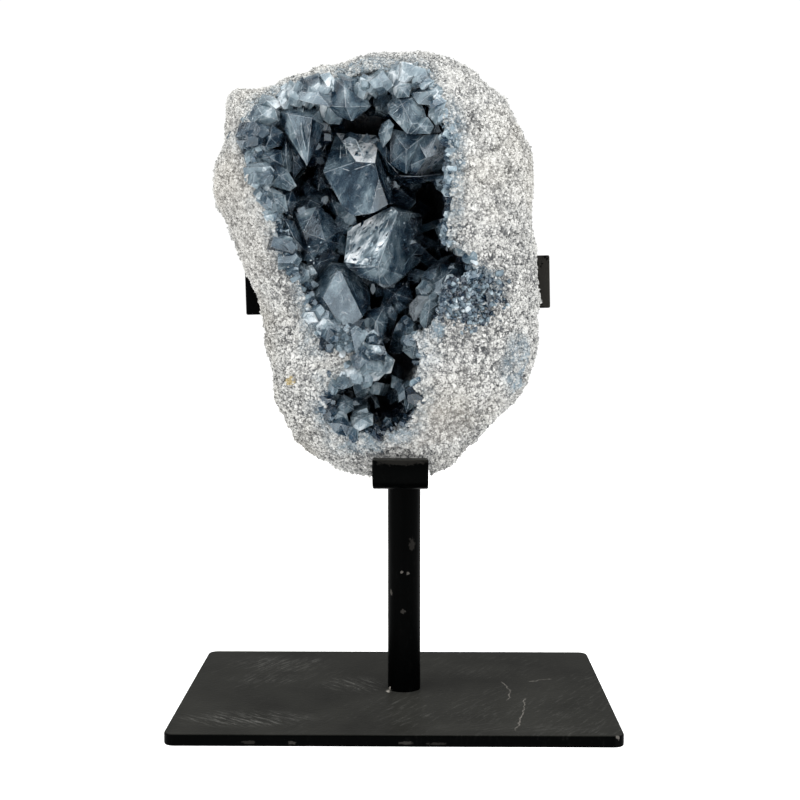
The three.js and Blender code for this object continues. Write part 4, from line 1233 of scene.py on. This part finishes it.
# buildCutCrystals: each crystal is cut as one solid, and a face's corners go round by their angle about its
# middle. All are joined in one mesh, with tone, frost and worn edges as values on the faces
def buildCutCrystals(name, chosen, finish):
    points, faces, edges, tones, frosts = [], [], [], [], []
    start = 0
    for label in chosen:
        tone, toRoot, ring, inner, given = crystals[label]
        normals, reaches, looks = facePlanes(toRoot, ring, inner, given)
        count = len(normals)
        normals, reaches = wornEdges(normals, reaches)
        looks = np.concatenate([looks, np.zeros((len(normals) - count, 2))])
        corners, touching = cutBlock(normals, reaches)
        for index in np.nonzero(touching.sum(axis=0) >= 3)[0]:
            loop = np.nonzero(touching[:, index])[0]
            off = corners[loop] - corners[loop].mean(axis=0)
            side = off[0] / np.linalg.norm(off[0])
            up = np.cross(normals[index], side)
            loop = loop[np.argsort(np.arctan2(off @ up, off @ side))]
            faces.append([int(corner) + start for corner in loop])
            edges.append(float(index >= count))
            # painted light and shade: a given face is made paler or darker by its own value
            tones.append(tone + looks[index, 1] + cut["varied"] * (chance(index * 3.7 + start) - 0.5))
            frosts.append(looks[index, 0])
            if frosts[-1] > cut["frosted"]:
                frostedFaces.append((corners[loop], normals[index], frosts[-1]))
        points.append(corners)
        start += len(corners)
    points = np.concatenate(points)
    seenCrystals.append(BVHTree.FromPolygons(points.tolist(), faces))
    mesh = bpy.data.meshes.new(name)
    mesh.from_pydata(points * millimetre, [], faces)
    addValues(mesh, "FACE", {"edge": edges, "tone": tones, "frost": frosts})
    mesh.materials.append(finish)
    placePiece(name, mesh, ["crystal_crust"])


# crystalPiece: many crystals as one piece, with as many points each, one tone each and the edges' values
def crystalPiece(name, points, faces, tone, edge, finish):
    values = {"tone": np.repeat(tone, len(points) // len(tone)), "edge": edge, "frost": np.zeros(len(points))}
    makePiece(name, points, facingOut(points, faces), finish, ["crystal_crust"], values)


# makeShards: flattened octahedra with their thin axis along up, as long, wide and thick as the scale
def makeShards(name, places, up, along, scale, tone, random):
    count = len(places)
    up = unit(up)
    over = unit(np.cross(up, along))
    frames = np.stack([np.cross(over, up), over, up], axis=2)
    shapes = grain["corners"][None] * scale[:, None, :] * (0.75 + 0.5 * random.random((count, 6, 1)))
    points = (places[:, None, :] + np.einsum("nij,nkj->nki", frames, shapes)).reshape(-1, 3)
    crystalPiece(name, points, grainFaces(count), tone, np.zeros(6 * count), druseFinish)


# buildFlakes: shards at chance places of the frosted faces, each tilted a little, where a crystal is broken,
# and one white shard for each painted glint
def buildFlakes():
    random = np.random.default_rng(17)
    places, normals, whites = [], [], []
    for loop, normal, white in frostedFaces:
        a, b, c = loop[:1], loop[1:-1], loop[2:]
        areas = np.linalg.norm(np.cross(b - a, c - a), axis=1) / 2
        count = int(areas.sum() * cut["flakes"] * white)
        chosen = np.searchsorted(np.cumsum(areas), random.random(count) * areas.sum())
        u, v = random.random((2, count, 1))
        u, v = np.where(u + v > 1, 1 - u, u), np.where(u + v > 1, 1 - v, v)
        places.append(a + (b[chosen] - a) * u + (c[chosen] - a) * v)
        normals.append(np.repeat(normal[None], count, 0))
        whites.append(np.full(count, white))
    places, normals, whites = (np.concatenate(parts) for parts in (places, normals, whites))
    size = within(cut["flakeHalf"], random.random(len(places)) ** 3)
    tone = 0.15 + 0.7 * random.random(len(places)) * whites
    # painted glints: a white shard where each bright glint is
    glintShards = np.array(cut["glintShards"])
    spots, met = onCrystals(glintShards[:, :2])
    places = np.concatenate([places, spots[met]])
    size, tone = (np.concatenate([numbers, glintShards[met, k]]) for numbers, k in ((size, 2), (tone, 3)))
    normals = np.concatenate([normals, np.repeat(cut["glintFacing"], met.sum(), 0)])
    count = len(places)
    along = np.array(cut["flakeAlong"]) + random.normal(size=(count, 3)) * 0.4
    makeShards("crystalFlakesAndGlints", places, normals + random.normal(size=(count, 3)) * 0.2, along,
               size[:, None] * cut["flakeShape"], tone, random)


# Bright hairlines on the faces, where the crystals are cleaved: pixels of both ends, half width (mm) and tone
streaks = [
    (298, 109, 305, 148, 0.06, 0.95), (304, 107, 306, 152, 0.05, 0.8), (290, 108, 303, 150, 0.04, 0.6),
    (284, 128, 302, 156, 0.05, 0.7), (313, 114, 308, 150, 0.05, 0.75), (320, 126, 310, 156, 0.04, 0.6),
    (279, 128, 303, 162, 0.05, 0.7), (294, 126, 304, 160, 0.03, 0.5), (317, 107, 309, 140, 0.04, 0.6),
    (264, 171, 288, 187, 0.06, 0.7), (270, 168, 294, 189, 0.05, 0.6), (268, 180, 287, 199, 0.05, 0.6),
    (262, 188, 282, 211, 0.06, 0.6), (274, 190, 286, 208, 0.05, 0.5), (257, 133, 268, 147, 0.06, 0.6),
    (264, 128, 272, 149, 0.05, 0.6), (248, 106, 268, 112, 0.06, 0.6), (252, 150, 278, 162, 0.05, 0.6),
    (268, 150, 281, 165, 0.05, 0.5), (405, 102, 391, 117, 0.09, 0.95), (405, 103, 396, 124, 0.07, 0.85),
    (406, 104, 402, 130, 0.06, 0.8), (408, 104, 410, 131, 0.06, 0.7), (410, 104, 419, 126, 0.05, 0.6),
    (404, 101, 389, 109, 0.07, 0.8), (433, 112, 446, 104, 0.06, 0.6), (431, 88, 447, 79, 0.06, 0.7),
    (356, 140, 366, 163, 0.16, 0.8), (345, 140, 347, 158, 0.1, 0.9), (350, 138, 352, 150, 0.08, 0.9),
    (341, 146, 340, 162, 0.1, 0.8), (338, 167, 350, 171, 0.07, 0.9), (350, 171, 374, 163, 0.07, 0.95),
    (326, 174, 345, 208, 0.045, 0.55), (373, 194, 373, 211, 0.04, 0.8), (378, 165, 386, 190, 0.05, 0.4),
    (397, 214, 377, 262, 0.05, 0.95), (390, 218, 372, 258, 0.08, 0.95), (384, 222, 368, 252, 0.07, 0.85),
    (377, 226, 364, 246, 0.06, 0.7), (352, 231, 349, 256, 0.1, 0.95), (358, 228, 353, 250, 0.05, 0.7),
    (350, 258, 374, 264, 0.06, 0.8), (354, 262, 370, 266, 0.05, 0.7), (418, 249, 391, 281, 0.08, 0.45),
    (344, 272, 348, 300, 0.04, 0.5), (350, 280, 358, 300, 0.05, 0.5), (333, 298, 346, 328, 0.05, 0.5),
    (322, 300, 338, 320, 0.03, 0.4), (310, 88, 320, 79, 0.06, 0.6), (339, 79, 352, 78, 0.06, 0.6),
    (392, 130, 410, 150, 0.04, 0.55), (400, 140, 420, 160, 0.04, 0.5), (398, 150, 412, 166, 0.04, 0.5),
    (420, 138, 438, 158, 0.05, 0.6), (424, 140, 430, 160, 0.04, 0.5),
]


# buildStreaks: each is three overlapping shards, half its length long, between points found on the crystals;
# a shard whose middle is off the crystal is left out
def buildStreaks():
    random = np.random.default_rng(29)
    table = np.array(streaks)
    spots, met = zip(*[onCrystals(table[:, :2] + share * (table[:, 2:4] - table[:, :2]))
                       for share in (0, 0.25, 0.5, 0.75, 1)])
    starts, ends, looks = [], [], []
    for index in range(3):
        off = np.linalg.norm(spots[index + 1] - (spots[index] + spots[index + 2]) / 2, axis=1)
        lies = met[index] & met[index + 1] & met[index + 2] & (off < cut["streakOff"])
        starts.append(spots[index][lies])
        ends.append(spots[index + 2][lies])
        looks.append(table[lies, 4:])
    starts, ends, looks = (np.concatenate(parts) for parts in (starts, ends, looks))
    count = len(starts)
    halfLong, thick = np.linalg.norm(ends - starts, axis=1) / 2, np.full(count, cut["streakThick"])
    scale = np.column_stack([halfLong, looks[:, 0], thick])
    up = np.repeat(cut["streakFacing"], count, 0)
    makeShards("crystalStreaks", (starts + ends) / 2, up, ends - starts, scale, looks[:, 1], random)


# A prism's 14 corners are four at the root, four at the top of the shaft's edges, four where a roof plane and
# an end plane meet a side, and the two ends of the ridge; its outline is its faces by their numbers
prism = {
    "outline": [(0, 1, 5, 8, 4), (1, 2, 6, 9, 5), (2, 3, 7, 10, 6), (3, 0, 4, 11, 7), (4, 8, 12, 13, 11),
                (6, 10, 13, 12, 9), (5, 9, 12, 8), (7, 11, 13, 10), (3, 2, 1, 0)],
    "quarters": ((1, 1), (-1, 1), (-1, -1), (1, -1)),
    "corners": 14,
    # how pale the worn edges are painted, as a painted highlight
    "edge": 0.9,  # how worn the edges look
}


# roofedPrisms: rhombic prisms with two main roof planes, z = L - a|x|/A, and two end planes,
# z = L + c - d|y|/B, which meet the side planes x/A + y/B = 1 at s = (d - c)/(a + d). All crystals are worked
# out at once. Each face is a fan about its middle, so the edge value falls from its most to 0 at the middle
def roofedPrisms(roots, headings, turns, halves, longs, random):
    count, ends = len(roots), prism["corners"]
    helper = np.where(np.abs(headings[:, 2:]) < 0.95, [[0.0, 0, 1]], [[1.0, 0, 0]])
    across = unit(np.cross(helper, headings))
    over = np.cross(headings, across)
    sine, cosine = np.sin(turns)[:, None], np.cos(turns)[:, None]
    axisA, axisB = across * cosine + over * sine, over * cosine - across * sine
    halfA, halfB = halves.T
    a = halfA * (0.5 + 0.6 * random.random(count))
    d = halfB * (0.8 + 0.8 * random.random(count))
    c = 0.3 * halfB * random.random(count) + 0.05 * halfB
    s = (d - c) / (a + d)
    none = np.zeros(count)
    ridge = c / d * halfB
    corners = []
    for roof, end in ((none, none), (longs - a, longs + c - d)):
        corners += [(halfA, none, roof), (none, halfB, end), (-halfA, none, roof), (none, -halfB, end)]
    corners += [(signA * halfA * s, signB * halfB * (1 - s), longs - a * s)
                for signA, signB in prism["quarters"]]
    corners += [(none, ridge, longs), (none, -ridge, longs)]
    local = np.array(corners, float)
    middles = np.stack([local[list(face)].mean(axis=0) for face in prism["outline"]])
    local = np.concatenate([local, middles]).transpose(2, 0, 1)
    points = (roots[:, None, :] + local[:, :, :1] * axisA[:, None] + local[:, :, 1:2] * axisB[:, None]
              + local[:, :, 2:] * headings[:, None])
    fans = np.array([(ends + index, face[k], face[(k + 1) % len(face)])
                     for index, face in enumerate(prism["outline"]) for k in range(len(face))])
    faces = (fans[None] + local.shape[1] * np.arange(count)[:, None, None]).reshape(-1, 3)
    edge = np.tile(np.repeat([1.0, 0.0], [ends, len(middles)]), count)
    return points.reshape(-1, 3), faces, edge * prism["edge"]


# Small crystals: how many, half widths and lengths (mm), how far they lean by chance and how much tones vary
between = {"count": 420, "half": (1.4, 4.0), "long": (4, 11), "lean": 0.5, "vary": 0.5}
druse = {"count": 3000, "half": (0.7, 2.2), "long": (1.8, 5.5), "lean": 0.5, "vary": 0.4}
rimDruse = {"count": 650, "half": (0.4, 2.0), "long": (1.6, 6), "lean": 0.9, "vary": 0.5}
rimLarge = {"count": 200, "half": (1.8, 4.2), "long": (6, 12), "lean": 0.6, "vary": 0.5}
slopeDruse = {"count": 1100, "half": (0.25, 1.3), "long": (0.8, 3.5), "lean": 1.0, "vary": 0.9}

# Parts of the hollow: an axis (0 is x, 1 is y, 2 is z) and from where to where (mm) a value rises from 0 to 1
regions = {
    "ceiling": [(2, 192, 206)],
    "highest": [(2, 200, 212)],
    "leftSide": [(0, -16, -24), (2, 150, 165)],
    "upperLeft": [(0, -18, -24), (2, 158, 168)],
    "right": [(0, 8, 14), (2, 148, 156)],
    "front": [(1, -34, -26)],
    "pocketEdge": [(2, 119, 113), (1, -36, -30)],
    "pocketRim": [(2, 120, 114)],
    "leftMiddle": [(0, -20, -26), (2, 180, 174)],
    "fromRight": [(0, 12, -6)],
    "fromMiddle": [(0, 1, -5)],
    "mouth": [(1, -36, -28)],
}
# How crystals lean over in some parts, added to their heading, and how much paler or darker they are in some
leaning = {"ceiling": (0, -0.6, -0.6), "leftSide": (1.0, 0, -0.55), "right": (-1.2, 0, -0.3)}
toning = {"highest": 0.2, "right": -0.08, "leftSide": -0.02, "pocketEdge": -0.16}
# crystal tone on the wall: pale at the rim, darker with depth as own colour and painted shade, and darker
# near the dark holes as painted shade
wallTone = {"rim": 0.5, "inside": -0.42, "depth": (-31, -8), "holes": -0.4, "most": 0.68}


# region: the product of the ramps of one part of the hollow
def region(places, name):
    return np.prod([ramp(places[:, axis], low, high) for axis, low, high in regions[name]], axis=0)


# Between the largest crystals the hollow is filled with smaller ones: places on a jittered grid inside the
# rim and outside the dark holes, tips deeper away from the rim, headings out of the mouth and towards the
# middle
bed = {
    "x": (-52, 30),
    "z": (98, 226),
    "step": 4.6,
    "jitter": 1.2,
    "inside": 2.2,  # mm inside the rim
    "half": (2.0, 4.8),
    "long": 17,
    "tips": (-28, -18),  # depth y of the tips near the rim and away from it
    # dark holes: middle x and z, half width and height
    "holes": [
        (8.5, 177, 9, 6.5), (12, 164, 4.5, 10), (19, 158, 6.5, 5), (-12, 203.5, 9, 4.2), (-29, 184, 3.4, 4.5),
        (0.5, 129, 3.4, 6), (4.5, 121, 4.2, 6), (-4.5, 109.5, 6.5, 4),
    ],
}


# fromHoles: how far places are from the nearest hole's middle, in parts of its half width and height
def fromHoles(x, z):
    return np.min([np.hypot((x - middleX) / halfWide, (z - middleZ) / halfHigh)
                   for middleX, middleZ, halfWide, halfHigh in bed["holes"]], axis=0)


# nearHoles: 1 inside the ellipses, falling to 0 at 1.7 times their size
def nearHoles(x, z):
    return ramp(fromHoles(x, z), 1.7, 1.0)


# wallCrystals: prisms rooted a third of their length under the wall. They lean from its normal towards the
# mouth, and in some regions over the hollow; none ends above a line under the stone's top. Pale at the rim,
# dark inside as their own darker colour and as painted shade, and darker near the dark holes as painted shade
def wallCrystals(name, seed, settings, weights, finish, milkier=0.0):
    random = np.random.default_rng(seed)
    count = settings["count"]
    places, normals = scattered(rockPoints, rockFaces, weights, count, random)[:2]
    x, y, z = places.T
    headings = normals + random.normal(size=(count, 3)) * settings["lean"] + np.array([0, -0.4, 0])
    for part, way in leaning.items():
        headings += region(places, part)[:, None] * np.array(way)
    headings = unit(headings)
    size = random.random(count) ** 1.7
    halfA = within(settings["half"], size)
    halves = np.stack([halfA, halfA * (0.65 + 0.3 * random.random(count))], axis=1)
    longs = within(settings["long"], 0.6 * size + 0.4 * random.random(count))
    roots = places - headings * longs[:, None] * 0.35
    roots[:, 2] -= np.maximum(roots[:, 2] + headings[:, 2] * longs - (215 + 0.16 * x), 0)
    points, faces, edge = roofedPrisms(roots, headings, random.random(count) * pi, halves, longs, random)
    # darker with depth: their own darker colour and painted shade
    depth = ramp(y, *wallTone["depth"])
    tone = wallTone["rim"] + wallTone["inside"] * depth + milkier
    tone += settings["vary"] * (random.random(count) - 0.5) * (1 - 0.7 * depth)
    # painted shade: darker near the dark holes
    tone += wallTone["holes"] * nearHoles(x, z) * region(places, "front")
    for part, share in toning.items():
        tone += share * region(places, part)
    crystalPiece(name, points, faces, np.minimum(tone, wallTone["most"]), edge, finish)


# bedCrystals: prisms from roots a length behind their tips, with random headings, widths and tones
def bedCrystals():
    random = np.random.default_rng(23)
    x, z = np.meshgrid(*[np.arange(*bed[axis], bed["step"]) for axis in "xz"], indexing="ij")
    x, z = (axis.ravel() + bed["step"] * (random.random(axis.size) - 0.5) * bed["jitter"] for axis in (x, z))
    inside = wallOf(x, z)[1]
    free = (inside > bed["inside"]) & (z < 214 + 0.2 * x) & (fromHoles(x, z) > 1.15)
    x, z, inside = x[free], z[free], inside[free]
    count = len(x)
    depth = ramp(inside, 0, 15)
    tips = np.stack([x, within(bed["tips"], depth) + 3 * (random.random(count) - 0.5), z], axis=1)
    headings = random.normal(size=(count, 3)) * [0.5, 0.1, 0.5] + [0, -1, 0]
    headings -= np.stack([x + 9, 0 * x, z - 175], axis=1) * [0.014, 0, 0.006]
    headings[:, 2] = np.maximum(headings[:, 2], 0.3 * ramp(z, 190, 200) - 0.4)
    headings = unit(headings)
    size = random.random(count)
    halfA = within(bed["half"], size)
    halves = np.stack([halfA, halfA * (0.6 + 0.35 * random.random(count))], axis=1)
    longs = bed["long"] * (0.8 + 0.4 * random.random(count)) * (1 - 0.4 * ramp(z, 190, 205))
    roots = tips - headings * longs[:, None]
    points, faces, edge = roofedPrisms(roots, headings, random.random(count) * pi, halves, longs, random)
    # darker deeper in, as their own darker colour and painted shade; paler at the top; darker near the dark
    # holes as painted shade
    tone = 0.48 - 0.26 * depth + 0.44 * (random.random(count) - 0.45) * (1 - 0.5 * depth)
    tone += 0.14 * ramp(z, 202, 212) - 0.3 * nearHoles(x, z)
    crystalPiece("bedCrystals", points, faces, tone, edge, clearFinish)


# crustOnWalls: crystals on the hollow's wall outside the dark holes, along the rim, mostly its left side, and
# on the slope at the lower right. A triangle's weight is the product of how well it fits each of these
def crustOnWalls():
    x, y, z = centresOfFaces.T
    inside = rockInside[rockFaces[:, 0]]
    onWall = rockPushed[rockFaces[:, 0]].astype(float)
    nearRim = ramp(inside, -4, 0) * (y < -10) * (1 - onWall) * ((x > -37) | (z < 199))
    nearRim = nearRim * (1 - 0.8 * region(centresOfFaces, "pocketRim"))
    isLeft = np.where(z < 138, region(centresOfFaces, "fromMiddle"), region(centresOfFaces, "fromRight"))
    isRight = region(centresOfFaces, "right") * ramp(inside, -2.4, -0.8)
    thinner = 1 - 0.97 * region(centresOfFaces, "leftMiddle") * (z > 138)
    onRim = nearRim * (0.02 + 0.98 * isLeft + 1.8 * isRight)
    onRim = onRim * (1 - 0.6 * region(centresOfFaces, "upperLeft")) * thinner
    onWall = onWall * ((x > -40) | (z < 202)) * (fromHoles(x, z) > 1.3)
    onSlope = ramp(np.hypot((x - 22) / 12, (z - 146) / 9), 1.5, 0.2) * (y < -24)
    wallCrystals("hollowCrystals", 31, between, onWall * region(centresOfFaces, "mouth"), clearFinish, -0.03)
    wallCrystals("hollowDruse", 32, druse, onWall, druseFinish, -0.05)
    wallCrystals("rimDruse", 33, rimDruse, onRim, druseFinish, -0.02)
    wallCrystals("rimLarge", 34, rimLarge, nearRim ** 3 * isLeft * thinner, clearFinish, -0.04)
    wallCrystals("slopeDruse", 35, slopeDruse, onSlope, druseFinish, -0.2)


heroes = ["upper", "middle", "left", "lower", "fan", "fanRib", "slab", "pyramid", "rightFan", "rightFanSide"]
buildCutCrystals("largeCrystals", heroes, clearFinish)
buildCutCrystals("rimCrystals", [label for label in crystals if label not in heroes], clearFinish)
buildFlakes()
buildStreaks()
bedCrystals()
crustOnWalls()
print("crystals done")


studio = {
    "world": (0.2, 0.85),  # at the horizon and straight above
    "backdrop": 1.05,
    # each lamp: place, what it points at, size (m) and power (W)
    "lamps": {
        "keyLight": ((0.85, -0.55, 0.66), (0, 0, 0.15), (1.3, 1.1), 15),
        "topLight": ((-0.15, -0.25, 1.05), (0, 0, 0.15), (1.2, 1.0), 12),
        "fillLight": ((-0.75, -0.7, 0.25), (0, 0, 0.13), (1.1, 0.8), 9),
    },
    "floorCorners": [(-3, -3, 0), (3, -3, 0), (3, 3, 0), (-3, 3, 0)],
    "white": (1, 1, 1),
    "pale": (0.93, 0.93, 0.93),
}
for name, (place, target, size, power) in studio["lamps"].items():
    light = bpy.data.lights.new(name, "AREA")
    light.shape = "RECTANGLE"
    light.size, light.size_y = size
    light.energy = power
    lamp = bpy.data.objects.new(name, light)
    lamp.location = place
    lamp.rotation_euler = (Vector(target) - Vector(place)).to_track_quat("-Z", "Y").to_euler()
    scene.collection.objects.link(lamp)

# The world lights the part softly, and what shows of it is the white backdrop
world = bpy.data.worlds.new("studioWorld")
world.use_nodes = True
sky = world.node_tree
upwards = addNode(sky, "SeparateXYZ", {0: addNode(sky, "TexCoord", {}, "Generated")}, "Z")
seen = timesNode(sky, addNode(sky, "LightPath", {}, "Is Camera Ray"), studio["backdrop"])
strength = mathNode(sky, "MAXIMUM", rangeNode(sky, upwards, 0, 1, *studio["world"]), seen)
feed(sky, sky.nodes["Background"], {"Color": studio["white"], "Strength": strength})
scene.world = world

floorMesh = bpy.data.meshes.new("floor")
floorMesh.from_pydata(studio["floorCorners"], [], [(0, 1, 2, 3)])
floor = bpy.data.objects.new("floor", floorMesh)
scene.collection.objects.link(floor)
floorFinish, floorTree, floorShader = newMaterial("paleFloor")
feed(floorTree, floorShader, {
    "Base Color": studio["pale"],
    "Roughness": 0.8,
    "Emission Color": studio["white"],
    "Emission Strength": 0.5,
})
floorMesh.materials.append(floorFinish)

scene.view_settings.view_transform = "Standard"
print("stage set")
